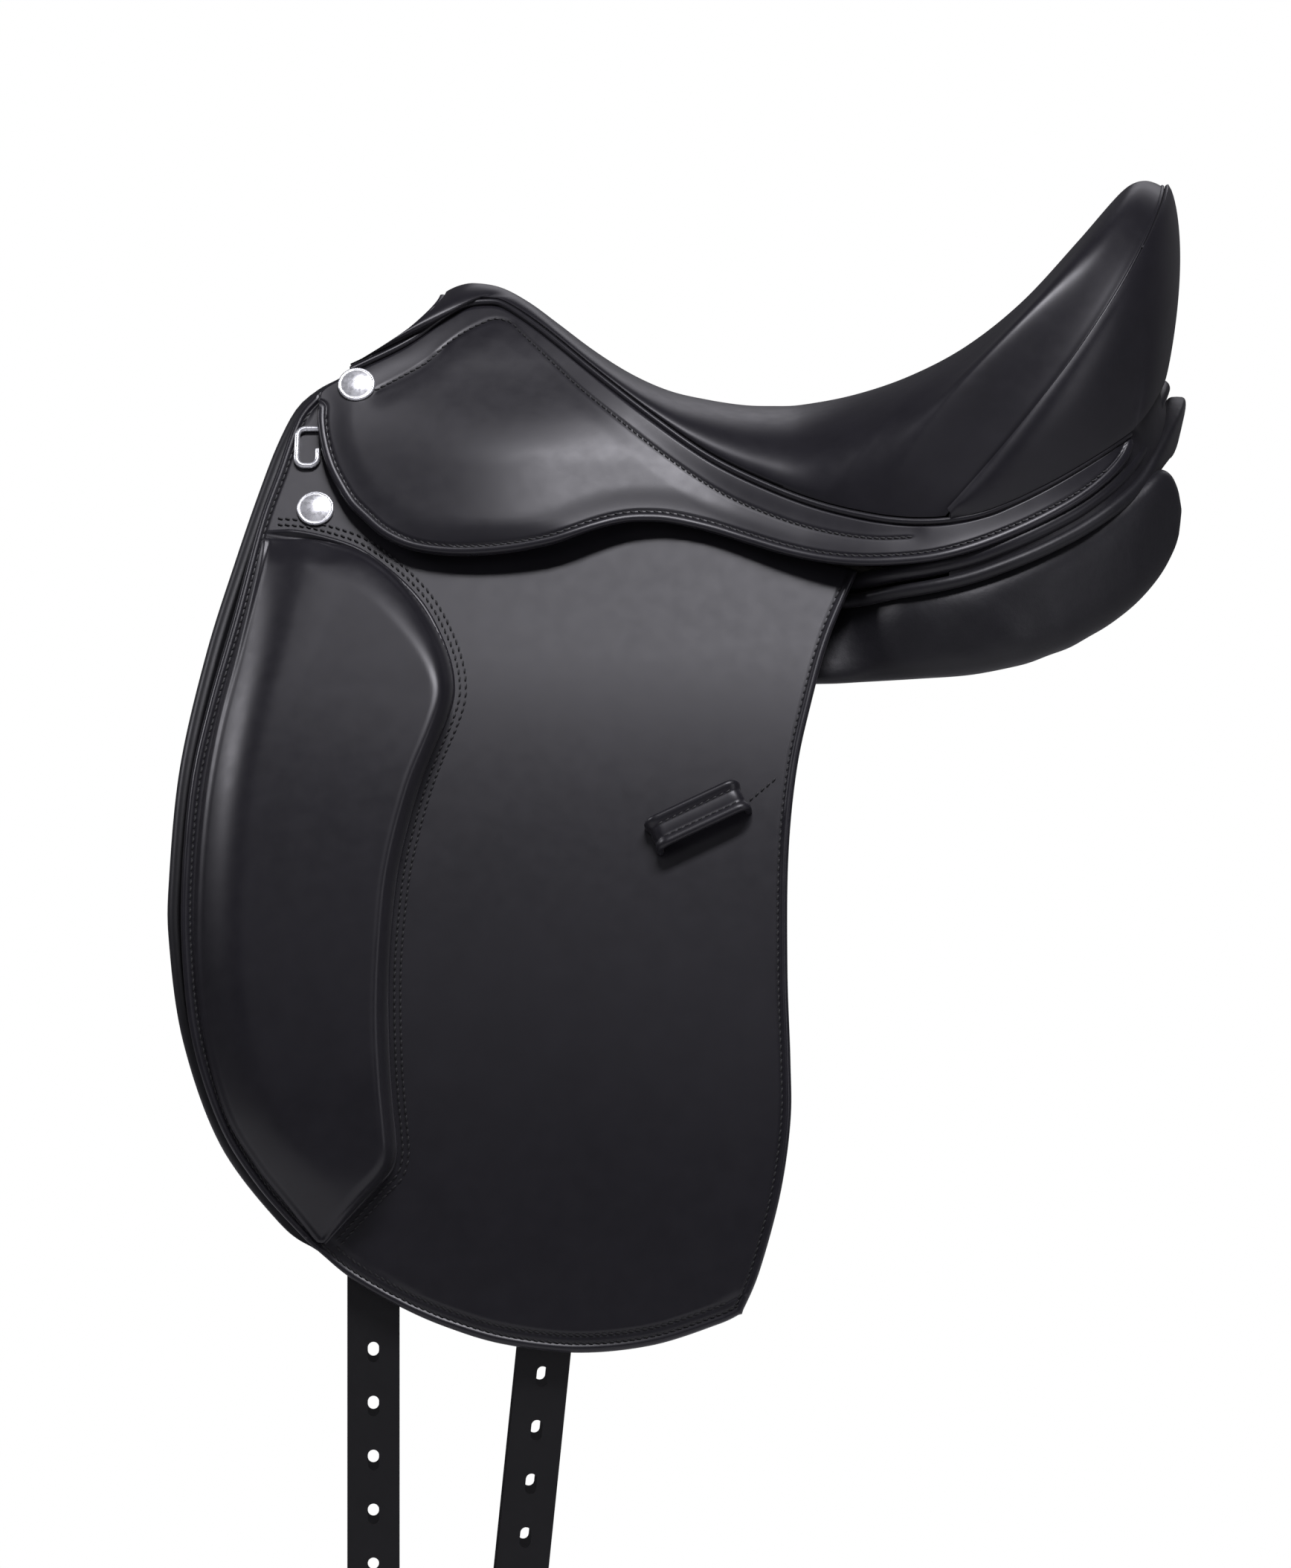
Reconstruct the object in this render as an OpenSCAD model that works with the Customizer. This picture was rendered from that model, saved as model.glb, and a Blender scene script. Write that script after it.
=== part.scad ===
/* [Side wall] */
// Slope of the upper side wall from vertical
wall_slope = 26; // [24:0.5:28]
// Radius of the side wall's curve down to the vertical
wall_r = 850; // [780:10:900]
// Half width between the flaps at their lower edge
wall_half = 225; // [215:1:235]
// Turn of each side wall about the vertical, wider to the rear
wall_yaw = 5; // [4:0.5:6]
// Depth of the flap's lower edge below the frame origin
flap_drop = 424; // [418:1:430]

/* [Leather] */
// Thickness of a flap
flap_t = 5; // [4:0.2:5.4]
// Thickness of a sweat flap
sweat_t = 3; // [2:0.2:3.6]
// Thickness of a skirt
skirt_t = 4; // [3:0.2:4.6]
// Standing height of a skirt's inner face over the flap
skirt_gap = 4; // [3.8:0.1:5]
// Extra height of a skirt over the stirrup bar
skirt_crown = 11.5; // [11:0.1:13]
// Thickness of the seat leather
cover_t = 2.5; // [2:0.1:3]
// Seat gap left between neighbouring pieces
seat_gap = 0.4; // [0.3:0.05:0.5]

/* [Seat] */
// Height of the pommel
pommel_h = 147.5; // [144:0.5:150]
// Height of the lowest point of the seat
dip_h = 81.5; // [78:0.5:84]
// Height of the cantle
cantle_h = 202.5; // [199:0.5:205]
// Widening of the seat behind its waist, each side
hip_w = 14; // [10:0.5:18]
// Drawing in of the sides over the pommel
pommel_tuck = 18; // [15:0.5:20]
// Radius of the welt piping
welt_r = 1.7; // [1.4:0.1:1.9]
// How square the ribs of the rear seat are
seat_square = 0.32; // [0.24:0.02:0.36]
// Outward bulge of the cantle gusset
gusset_bulge = 6; // [4:0.5:8]
// Thickness of the board inside the cantle
board_t = 6; // [4:0.5:7]
// Thickness of a seat web
web_t = 2; // [1.4:0.1:2.4]

/* [Panel] */
// Half width of the gullet between the panels
panel_gullet = 39; // [35:0.5:42]

/* [Thigh block] */
// Height of the block over the flap
block_h = 24; // [18:1:30]
// Height of the block's sewn edge
block_lip = 1.6; // [1.2:0.1:2.4]

/* [Keeper] */
// Length of the keeper across the strap
keeper_len = 54; // [48:1:58]
// Width of the keeper along the strap
keeper_w = 19; // [16:1:22]
// Clear height under the keeper
keeper_clear = 8; // [6.5:0.5:10]
// Thickness of the keeper leather
keeper_t = 3; // [2.4:0.2:3.6]

/* [Billets] */
// Width of a billet
billet_w = 28; // [25:0.5:30]
// Thickness of a billet
billet_t = 4; // [3.2:0.2:4.4]
// Clear space on each face of a billet
billet_clear = 2; // [1.8:0.1:2.6]
// Length of a billet below the flap's lower edge
billet_tail = 158; // [152:1:180]
// Spacing of the holes
hole_pitch = 28.8; // [27:0.2:29.6]
// Width of a hole
hole_w = 6; // [5:0.2:7]
// Length of a hole
hole_l = 11; // [9:0.5:12]

/* [Fittings] */
// Radius of a nail head
nail_r = 10; // [8.5:0.5:11]
// Height of a nail head
nail_h = 3; // [2.4:0.2:3.6]
// Radius of a nail shank
shank_r = 1.5; // [1.2:0.1:1.8]
// Wire radius of a dee ring
dee_r = 1.5; // [1.3:0.1:1.6]
// Radius of a stirrup bar's rod
rod_r = 4.2; // [3.8:0.1:4.4]
// Clear space behind a stirrup bar's rod for the leather
bar_clear = 7.6; // [7:0.1:8]
// Length of a stirrup bar's plate
plate_len = 62; // [58:1:66]
// Width of a stirrup bar's plate
plate_w = 20; // [18:1:22]
// Thickness of a stirrup bar's plate
plate_t = 3.6; // [3:0.2:3.8]
// Thickness of the head plate
head_t = 4; // [3:0.2:5]
// Radius of a rivet shank
rivet_r = 2.4; // [2:0.1:2.8]

/* [Rolls] */
// Radius of the cantle roll
roll_r = 4.6; // [4:0.1:4.8]
// Half thickness of the panel band
band_r = 3.7; // [3.2:0.1:3.9]

/* [Hidden] */
$fn = 48;
holes = 5;
arc_n = 18;
rear_fan = 118;
front_fan = 51;
rim_x = -160;
seam_x = 225;
hinge_a = [-262, 18];
hinge_b = [58, -45];
lobe_a = [-228.5, 76];
lobe_b = [-44, 20.6];
hinge_gap = 0.4;
web_x = [-199, -62];
web_z = [28, 16];
billet_lean = [0, 5.9];
hole_top = [-425, -438];

// Height line over the middle of the seat, pommel rim to cantle seam
seat_top = [
  [-168, dip_h + 0.83 * (pommel_h - dip_h)], [-160, dip_h + 0.93 * (pommel_h - dip_h)],
  [-152, dip_h + 0.985 * (pommel_h - dip_h)], [-144, pommel_h],
  [-130, dip_h + 0.962 * (pommel_h - dip_h)], [-115, dip_h + 0.84 * (pommel_h - dip_h)],
  [-100, dip_h + 0.674 * (pommel_h - dip_h)], [-80, dip_h + 0.447 * (pommel_h - dip_h)],
  [-60, dip_h + 0.258 * (pommel_h - dip_h)], [-40, dip_h + 0.124 * (pommel_h - dip_h)],
  [-20, dip_h + 0.053 * (pommel_h - dip_h)], [0, dip_h + 0.5], [15, dip_h], [30, dip_h + 0.5],
  [60, dip_h + 0.051 * (cantle_h - dip_h)], [90, dip_h + 0.136 * (cantle_h - dip_h)],
  [120, dip_h + 0.269 * (cantle_h - dip_h)], [150, dip_h + 0.467 * (cantle_h - dip_h)],
  [180, dip_h + 0.736 * (cantle_h - dip_h)], [200, dip_h + 0.926 * (cantle_h - dip_h)],
  [208, dip_h + 0.983 * (cantle_h - dip_h)], [216, cantle_h], [225, cantle_h - 2.5]
];
// Half width and pommel height at which the lines below are drawn, and how they follow a change
drawn_half = 225;
drawn_pommel = 147.5;
function spread(y) = y + (wall_half - drawn_half) * sign(y) * min(1, abs(y) / 40);
function lift(z) = z + (pommel_h - drawn_pommel) * ease((z - 60) / 60);
// Height line of the welt between seat and skirt
welt_drawn = [
  [-215, 99], [-204, 104], [-180, 116], [-160, 130], [-150, 135.4], [-140, 137.2], [-130, 136],
  [-110, 123], [-80, 98.5], [-50, 75], [-20, 54], [10, 39], [40, 27.7], [70, 20.8], [90, 18.8],
  [110, 19.7], [130, 24], [160, 37.5], [190, 55], [208, 67.5], [232, 86]
];
welt_line = [for (p = welt_drawn) [p[0], p[0] < 0 ? lift(p[1]) : p[1]]];
// Sideways widening of seat and skirt along the length
hip_line = [
  [-240, 0], [-30, 0], [30, 0.35 * hip_w], [80, 0.86 * hip_w], [120, hip_w], [160, 0.36 * hip_w],
  [190, -8], [208, -20], [232, -40]
];
// Lower edge of the skirt behind its lobe
skirt_low = [
  [-60, 20.5], [-44, 20], [-20, 15], [0, 8.8], [20, 2.8], [40, -1.5], [60, -3.4], [80, -3],
  [100, -1], [120, 3.8], [140, 11], [160, 20], [180, 31], [195, 42.5], [204, 52.5], [208, 61]
];
// Edge of the skirt lobe from its front down and back
lobe_edge = [
  [-228.5, 74], [-227.7, 66], [-225.8, 57], [-222.8, 48], [-218, 38.5], [-212, 29], [-204, 21],
  [-195, 13], [-184, 7], [-173, 3.8], [-158, 2], [-143, 2], [-127, 3.4], [-112, 6], [-100, 9],
  [-80, 16], [-66, 19.2], [-54, 20]
];
// Front edge of the flap, from the hinge down
flap_front = [
  [-230.5, 86], [-240, 74], [-250, 46], [-260, 18], [-273, -31], [-286.7, -79], [-296, -121],
  [-300.3, -169], [-300.3, -212], [-294.7, -260], [-280, -305], [-260, -337], [-236, -364],
  [-228.5, -371]
];
// Lower edge of the flap, front to rear
flap_low = [
  [-228.5, -371], [-212, -384.5], [-185, -400], [-160, -410.7], [-130, -419.5], [-90, -424],
  [-50, -420], [-15, -409], [-3, -403.5]
];
// Rear edge of the flap, from the lower corner up
flap_rear = [
  [-3, -403.5], [6, -382], [17, -341], [22.5, -302], [22.5, -269], [21, -222], [21.5, -162],
  [26, -115], [34, -78], [44, -43], [59, -8]
];
// Outline of the flap head above its hinge
head_top = [
  [59, -8], [20, 3], [-20, 20], [-60, 50], [-100, 82], [-140, 92], [-185, 92], [-216, 94], [-230.5, 86]
];
// Front edge of the sweat flap, top to bottom
sweat_front = [
  [-218, 95], [-229, 89], [-240, 79], [-250, 60], [-260, 34], [-272, -1], [-288, -52], [-302, -113],
  [-307.7, -172], [-307.7, -207], [-300, -260], [-280, -315], [-248, -357], [-230, -370]
];
// Hidden lower, rear and upper edges of the sweat flap
sweat_back = [
  [-230, -370], [-190, -386], [-140, -402], [-90, -410], [-40, -402], [-14, -388], [4, -340],
  [10, -280], [9, -200], [13, -130], [24, -70], [36, -24], [10, -6], [-60, 4], [-130, 6], [-172, 30],
  [-200, 70], [-218, 95]
];
// Front and rear edges of the thigh block by height
block_front = [
  [-366, -229], [-350, -242], [-325, -262], [-300, -277], [-265, -287.5], [-225, -293.5],
  [-180, -294], [-130, -290], [-90, -283], [-50, -272.5], [-10, -262.5], [9.5, -258]
];
block_back = [
  [-366, -224.5], [-345, -205], [-330, -191.5], [-319, -187.5], [-308, -187.7], [-280, -190],
  [-244, -191.5], [-205, -190], [-167, -186], [-124, -175], [-95, -163.5], [-75, -156.8],
  [-57, -158], [-36, -167], [-12, -185], [2, -203], [7, -217], [9.5, -231]
];
// Share of the block's full height by height on the flap
block_crown = [
  [-366, 0.03], [-345, 0.5], [-320, 0.86], [-280, 1], [-120, 1], [-60, 0.9], [-20, 0.55], [9.5, 0.04]
];
// Tree frame from the middle of the head round to the middle of the cantle: place, half sizes, tilt
tree_drawn = [
  [-146, 0, 123, 10, 5, 0], [-149, 14, 119, 10, 5, 28], [-152, 25, 106, 10, 5, 54],
  [-146, 35, 86, 10, 5, 60], [-130, 45, 66, 11, 5, 58], [-104, 57, 47, 13, 5.5, 52],
  [-60, 68, 30, 15, 6, 42], [-20, 76, 20, 16, 6, 36], [30, 86, 9, 17, 6, 30],
  [85, 96, 3, 18, 6, 26], [130, 97, 9, 18, 6, 24], [168, 86, 25, 17, 6, 20], [192, 66, 42, 15, 6, 14],
  [203, 36, 54, 14, 6, 8], [206, 0, 58, 14, 6, 0]
];
tree_line = [for (p = tree_drawn) [p[0], spread(p[1]), lift(p[2]), p[3], p[4], p[5]]];
// Cantle roll and panel band from under the flap round to the middle of the rear: x, side, height
roll_drawn = [
  [50, 104, -14.4], [62, 115, -12.8], [80, 131, -9.2], [100, 138, -5.8], [120, 138.6, -1.2],
  [140, 134.4, 6.2], [160, 126, 15.2], [180, 113.4, 26.3], [197, 98, 39.6], [209, 79, 54],
  [217, 54, 70], [221.5, 26, 83], [223, 0, 88]
];
roll_line = [for (p = roll_drawn) [p[0], spread(p[1]), p[2]]];
band_drawn = [
  [50, 114, -24], [62, 119.5, -22.9], [80, 133.4, -19.2], [100, 140.5, -15.8], [120, 141.5, -11.2],
  [140, 138, -4.2], [160, 130, 4.2], [180, 118, 14.5], [198, 103.5, 26.5], [212, 84, 38.5],
  [222.5, 58, 53.5], [229.5, 28, 65.5], [231.5, 0, 69.5]
];
band_line = [for (p = band_drawn) [p[0], spread(p[1]), p[2]]];
// Half height of the band by its place along the line
band_tall = [[0, 1], [7, 1], [9, 1.25], [10, 2], [11, 3.4], [12, 4.6]];
// Panel by length: outer side behind the flap, then heights of the four corners of its section
panel_side = [for (p = [[40, 122], [60, 128], [90, 141], [112, 145], [132, 143], [160, 133], [190, 115],
  [202, 106]]) [p[0], spread(p[1])]];
panel_ti = [
  [-202, 24], [-170, 27], [-148, 28], [-130, 34], [-100, 42], [-60, 45], [0, 32], [50, 15], [95, 15.2],
  [150, 26.8], [190, 37.4], [202, 43], [215, 48], [228, 52]
];
panel_to = [
  [-202, 8], [-130, 6], [-60, 0], [0, -14], [48, -31], [64, -28.6], [80, -24.2], [95, -20.6], [120, -16.1],
  [150, -8.8], [180, 6.5], [202, 19], [215, 27], [228, 38]
];
panel_bi = [[-202, -24], [-120, -22], [0, -24], [100, -28], [170, -20], [202, -8]];
panel_bo = [
  [-202, -62], [-120, -74], [0, -77], [60, -76], [95, -74.5], [130, -71], [165, -60], [190, -48],
  [202, -40]
];
panel_x = [-202, 202];
panel_ends = [-233, 234.5];
panel_mid = [[spread(56), -14], [spread(70), 25]];

function lerp(a, b, t) = a + (b - a) * t;
function unit(v) = v / norm(v);
// Smooth rise from 0 to 1
function ease(t) = let (u = min(1, max(0, t))) u * u * (3 - 2 * u);
// Index of the stretch of a line of points that holds x
function stretch_at(p, x, i = 0) = (i >= len(p) - 2 || x < p[i + 1][0]) ? i : stretch_at(p, x, i + 1);
// Smooth height at x of a line of points that runs in x
function rise(p, x) =
  let (
    i = stretch_at(p, x), n = len(p) - 1,
    a = p[max(i - 1, 0)], b = p[i], c = p[i + 1], d = p[min(i + 2, n)],
    h = c[0] - b[0], f = min(1, max(0, (x - b[0]) / h)),
    m = (c[1] - a[1]) / (c[0] - a[0]) * h, k = (d[1] - b[1]) / (d[0] - b[0]) * h
  )
  (2 * f * f * f - 3 * f * f + 1) * b[1] + (f * f * f - 2 * f * f + f) * m
  + (3 * f * f - 2 * f * f * f) * c[1] + (f * f * f - f * f) * k;
// Smooth place at t along a line of points
function along(p, t) =
  let (
    i = max(0, min(floor(t), len(p) - 2)), f = t - i, n = len(p) - 1,
    a = p[max(i - 1, 0)], b = p[i], c = p[i + 1], d = p[min(i + 2, n)]
  )
  0.5 * (2 * b + (c - a) * f + (2 * a - 5 * b + 4 * c - d) * f * f + (3 * b - a - 3 * c + d) * f * f * f);
// Line of points made smooth with k steps per stretch, without its last point
function smooth(p, k) = [for (i = [0:k * (len(p) - 1) - 1]) along(p, i / k)];

// Side wall: middle of its curve, end of the curve and half width at a place
wall_c = [wall_half * cos(wall_yaw) - wall_r, -flap_drop];
knee = wall_c + wall_r * [cos(wall_slope), sin(wall_slope)];
function wall_n(z, o) =
  let (r = wall_r + o, d = z - wall_c[1])
  d <= 0 ? wall_c[0] + r
  : d < r * sin(wall_slope) ? wall_c[0] + sqrt(r * r - d * d)
  : wall_c[0] + r * cos(wall_slope) - (d - r * sin(wall_slope)) * tan(wall_slope);
function wall_s(x, z, o) = (wall_n(z, o) + x * sin(wall_yaw)) / cos(wall_yaw);
function wall_p(x, z, o) = [x, wall_s(x, z, o), z];
// Place in the plane of the upper wall of a point seen from the side
function plane_ab(p) =
  let (b = (p[1] - knee[1]) / cos(wall_slope), n = knee[0] - b * sin(wall_slope))
  [(p[0] + n * sin(wall_yaw)) / cos(wall_yaw), b];
// Layers of the side counted outward from the flap's outer face
billet_o = -flap_t - billet_clear - 1;
sweat_o = billet_o - billet_t - billet_clear;
panel_o = sweat_o - sweat_t - seat_gap;
skirt_o = skirt_gap + skirt_t;

// Half width of seat and skirt, drawn in over the pommel
function side_s(x, z, o) = wall_s(x, z, o) + rise(hip_line, x) - pommel_tuck * pow(max(0, z - 70) / 66, 2);
function side_p(x, z, o) = [x, side_s(x, z, o), z];
function welt_z(x) = rise(welt_line, x);
function welt_s(x) = side_s(x, welt_z(x), skirt_o);
welt_gap = 1.25 * (welt_r + seat_gap);
// Height of the skirt's inner face over the flap
function skirt_lift(x, z) =
  skirt_gap + skirt_crown * pow(max(0, 1 - pow((x + 122) / 112, 2)), 2)
  * pow(max(0, 1 - pow((z - 34) / 40, 2)), 2);

// Seat surface: a rib from the middle line out to the welt, leaning at both ends
function base_x(cx) = cx - front_fan * ease((-100 - cx) / (-100 - rim_x)) - rear_fan * ease(cx / seam_x);
function seat_p(cx, a) =
  let (
    bx = base_x(cx), bz = welt_z(bx) + welt_gap,
    q = 1 - seat_square * ease((cx - 20) / 80) * (1 - ease((cx - 180) / 45)),
    wide = sign(a) * pow(abs(sin(a)), q), high = pow(max(0, cos(a)), q)
  )
  [cx + (bx - cx) * pow(1 - cos(a), 1.35), welt_s(bx) * wide, bz + (rise(seat_top, cx) - bz) * high];
// Base of the seat, arched between the welts
function seat_base(x, y) =
  let (z = welt_z(x), h = rise(seat_top, min(x, 216)) - z)
  z - 1 + 0.3 * h * max(0, 1 - pow(y / welt_s(x), 2));
// Lower edge of the cantle gusset by angle round the rear
function gusset_low(a) =
  let (q = abs(a), k = q / 40, g = sign(a), x = 207 - 100 * (q - 40) / 50)
  q < 40
  ? [207 + 16.5 * (1 - k * k), g * welt_s(207) * sin(90 * k), welt_z(207) + welt_gap + 25 * cos(90 * k)]
  : [x, g * welt_s(x), welt_z(x) + welt_gap];
function gusset_p(a, v) =
  let (s = seat_p(seam_x, a), e = gusset_low(a), d = (cover_t + 1.2) / norm(e - s), t = d + (1 - d) * v)
  lerp(s, e, t) + (gusset_bulge * cos(a) + 1.6) * sin(180 * t) * [cos(a), sin(a), 0];

// Outward direction of a grid of points
function facing(g, i, j) =
  let (
    n = len(g) - 1, m = len(g[0]) - 1,
    u = g[min(i + 1, n)][j] - g[max(i - 1, 0)][j], v = g[i][min(j + 1, m)] - g[i][max(j - 1, 0)]
  )
  unit(cross(u, v));
// Grid moved along its outward direction
function moved(g, d) = [for (i = [0:len(g) - 1]) [for (j = [0:len(g[0]) - 1]) g[i][j] + d * facing(g, i, j)]];

// Closed solid between an outer and an inner grid of the same size
module slab(a, b) {
  n = len(a);
  m = len(a[0]);
  k = n * m;
  top = [for (i = [0:n - 2], j = [0:m - 2], f = [[0, m, m + 1], [0, m + 1, 1]]) [for (q = f) i * m + j + q]];
  low = [for (f = top) [f[2] + k, f[1] + k, f[0] + k]];
  rim = concat(
    [for (j = [0:m - 1]) j], [for (i = [1:n - 1]) i * m + m - 1],
    [for (j = [m - 2:-1:0]) (n - 1) * m + j], [for (i = [n - 2:-1:1]) i * m]
  );
  r = len(rim);
  wall = [for (i = [0:r - 1], f = [0, 1])
    let (p = rim[i], q = rim[(i + 1) % r]) f == 0 ? [p, q, q + k] : [p, q + k, p + k]];
  polyhedron([for (g = [a, b], row = g, p = row) p], concat(top, low, wall));
}

// Closed tube through rings of points
module tube(rings, ring_closed = false) {
  n = len(rings);
  m = len(rings[0]);
  last = ring_closed ? n - 1 : n - 2;
  side = [for (i = [0:last], j = [0:m - 1], f = [0, 1])
    let (
      h = (j + 1) % m, k = ((i + 1) % n) * m,
      p = i * m + j, q = i * m + h, s = k + j, t = k + h
    )
    f == 0 ? [p, q, t] : [p, t, s]];
  caps = ring_closed ? [] : [[for (j = [m - 1:-1:0]) j], [for (j = [0:m - 1]) (n - 1) * m + j]];
  polyhedron([for (r = rings, p = r) p], concat(side, caps));
}

// Right-hand piece as drawn, or its mirror on the near side
module on_side(near) {
  if (near) mirror([0, 1, 0]) children();
  else children();
}

// Sheet of the side wall between two offsets
module wall_band(lo, hi) {
  line = function (o) concat(
    [[wall_c[0] + wall_r + o, wall_c[1] - 320]],
    [for (i = [0:arc_n]) wall_c + (wall_r + o) * [cos(wall_slope * i / arc_n), sin(wall_slope * i / arc_n)]],
    [wall_c + (wall_r + o) * [cos(wall_slope), sin(wall_slope)] + 240 * [-sin(wall_slope), cos(wall_slope)]]
  );
  outer = line(hi);
  inner = line(lo);
  rotate([0, 0, wall_yaw])
    translate([-420, 0, 0])
      rotate([90, 0, 90])
        linear_extrude(760)
          polygon(concat(outer, [for (i = [len(inner) - 1:-1:0]) inner[i]]));
}

// Upright prism through the side over an outline seen from the side
module through(outline) {
  translate([0, 420, 0])
    rotate([90, 0, 0])
      linear_extrude(420)
        polygon(outline);
}

// Frame in the plane of the upper wall at a point seen from the side: along, outward, up
module wall_frame(p, turn = 0) {
  q = plane_ab(p);
  rotate([0, 0, wall_yaw])
    translate([0, knee[0], knee[1]])
      rotate([wall_slope, 0, 0])
        translate([q[0], 0, q[1]])
          rotate([0, -turn, 0])
            children();
}

// Half space above or below a line in the upper wall
module beside(p, q, up) {
  a = plane_ab(p);
  b = plane_ab(q);
  wall_frame(p, atan2(b[1] - a[1], b[0] - a[0]))
    translate([-300, -240, up ? 0 : -700])
      cube([1000, 320, 700]);
}

// Cylinder along the outward direction
module out_rod(r, from, to) {
  translate([0, from, 0])
    rotate([-90, 0, 0])
      cylinder(h = to - from, r = r);
}

flap_outline = concat(smooth(flap_front, 3), smooth(flap_low, 3), smooth(flap_rear, 3), smooth(head_top, 1));

module flap(near) {
  color("#1d1d22")
  on_side(near)
  difference() {
    intersection() {
      wall_band(-flap_t, 0);
      through(flap_outline);
    }
    beside(hinge_a - [0, hinge_gap], hinge_b - [0, hinge_gap], true);
  }
}

nail_flap = [-230, 25.5];
nail_skirt = [-207.4, 88.6];
bar_p = [-122, 27];
bar_turn = -6;
bar_front = -plate_len / 2;
leg_len = 13;
rod_o = bar_clear + rod_r - flap_t - seat_gap;

module flap_head(near) {
  color("#202026")
  on_side(near)
  difference() {
    intersection() {
      wall_band(-flap_t, 0);
      through(flap_outline);
    }
    beside(hinge_a, hinge_b, false);
    wall_frame(nail_flap)
      out_rod(shank_r + 0.15, -30, 10);
    wall_frame(nail_skirt)
      out_rod(shank_r + 0.15, -30, 10);
    wall_frame(bar_p, bar_turn)
      translate([bar_front - 0.5, -20, 1.5 - plate_w / 2])
        cube([plate_len + 3.5, 40, plate_w]);
  }
}

module sweat_flap(near) {
  color("#2a2a30")
  on_side(near)
  intersection() {
    wall_band(sweat_o - sweat_t, sweat_o);
    through(concat(smooth(sweat_front, 3), smooth(sweat_back, 3)));
  }
}

module thigh_block(near) {
  n = 22;
  m = 9;
  z0 = block_front[0][0];
  z1 = block_front[len(block_front) - 1][0];
  zs = [for (i = [0:n]) let (t = i / n) z0 + (z1 - z0) * (t - 0.08 * sin(360 * t))];
  spot = function (z, u, o) wall_p(lerp(rise(block_front, z), rise(block_back, z), u), z, o);
  crown = function (z, u) seat_gap + block_lip
    + block_h * rise(block_crown, z) * pow(max(0, 1 - pow(abs(2 * u - 1), 3.2)), 0.6);
  color("#18181c")
  on_side(near)
  slab(
    [for (z = zs) [for (j = [0:m]) let (u = 0.5 - 0.5 * cos(180 * j / m)) spot(z, u, crown(z, u))]],
    [for (z = zs) [for (j = [0:m]) let (u = 0.5 - 0.5 * cos(180 * j / m)) spot(z, u, seat_gap)]]
  );
}

keeper_p = [-25.2, -140.8];
keeper_turn = 26.6;

// Frame on the curved wall at the keeper: across the strap, outward, along the strap
module keeper_frame() {
  a = asin((keeper_p[1] - wall_c[1]) / wall_r);
  translate(wall_p(keeper_p[0], keeper_p[1], 0))
    rotate([0, 0, wall_yaw])
      rotate([a, 0, 0])
        rotate([0, -keeper_turn, 0])
          children();
}

module keeper(near) {
  h = keeper_clear + keeper_t;
  r = 5;
  color("#1b1b20")
  on_side(near)
  keeper_frame()
  translate([0, 0, -keeper_w / 2])
  linear_extrude(keeper_w)
  difference() {
    union() {
      translate([-keeper_len / 2, seat_gap])
        square([keeper_len, h - r]);
      translate([r - keeper_len / 2, seat_gap])
        square([keeper_len - 2 * r, h]);
      for (g = [-1, 1])
        translate([g * (keeper_len / 2 - r), seat_gap + h - r])
          circle(r);
    }
    translate([keeper_t - keeper_len / 2, -1])
      square([keeper_len - 2 * keeper_t, keeper_clear + seat_gap + 1]);
  }
}

// Seat leather grid from near side to far side
rib_m = 16;
rib_x = concat(
  [for (i = [0:11]) lerp(rim_x, -90, i / 12)], [for (i = [0:12]) lerp(-90, 174, i / 13)],
  [for (i = [0:6]) lerp(174, seam_x, 1 - pow(1 - i / 6, 1.5))]
);
rib_n = len(rib_x) - 1;
// Stations along the welt shared by seat, piping and skirt
side_x = concat([for (x = rib_x) base_x(x)], [for (i = [1:9]) lerp(base_x(seam_x), 206.5, i / 9)]);
seat_grid = [for (i = [0:rib_n]) [for (j = [0:rib_m]) seat_p(rib_x[i], lerp(-90, 90, j / rib_m))]];

module seat_cover() {
  color("#16161a")
  slab(seat_grid, moved(seat_grid, -cover_t));
}

module seat_foam() {
  low_i = rib_n - 3;
  g = moved(seat_grid, -cover_t - seat_gap);
  clear = function (p) sign(p[1]) * min(abs(p[1]), welt_s(p[0]) - cover_t - 2);
  low = function (x, y) max(seat_base(x, y), welt_z(x) + welt_gap + seat_gap);
  top = [for (i = [0:low_i]) [for (j = [1:rib_m - 1]) let (p = g[i][j]) [p[0], clear(p), p[2]]]];
  base = [for (row = top) [for (p = row) [p[0], p[1], min(p[2] - 1, low(p[0], p[1]))]]];
  color("#d8c9a0")
  slab(top, base);
}

gusset_n = 20;
gusset_m = 6;
gusset_grid = [for (i = [0:gusset_m])
  [for (j = [0:gusset_n]) gusset_p(lerp(-87, 87, j / gusset_n), i / gusset_m)]];

module cantle_gusset() {
  color("#1c1c20")
  slab(gusset_grid, moved(gusset_grid, -cover_t));
}

module cantle_board() {
  keep = [for (row = gusset_grid) [for (j = [4:gusset_n - 4]) row[j]]];
  color("#8a6a44")
  slab(moved(keep, -cover_t - seat_gap), moved(keep, -cover_t - seat_gap - board_t));
}

module seat_webs() {
  color("#c9c2b0")
  for (g = [-1, 1]) {
    xs = [for (i = [0:18]) lerp(-128, 196, i / 18)];
    ys = g > 0 ? [6, 20, 34] : [-34, -20, -6];
    fit = function (x) min(1, (welt_s(x) - 9) / 40);
    drop = function (x) 3 * seat_gap + 1.6 * ease((x - 130) / 40);
    top = [for (x = xs) [for (y = ys) [x, y * fit(x), seat_base(x, y * fit(x)) - drop(x)]]];
    slab(top, [for (row = top) [for (p = row) p - [0, 0, web_t]]]);
  }
}

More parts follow.
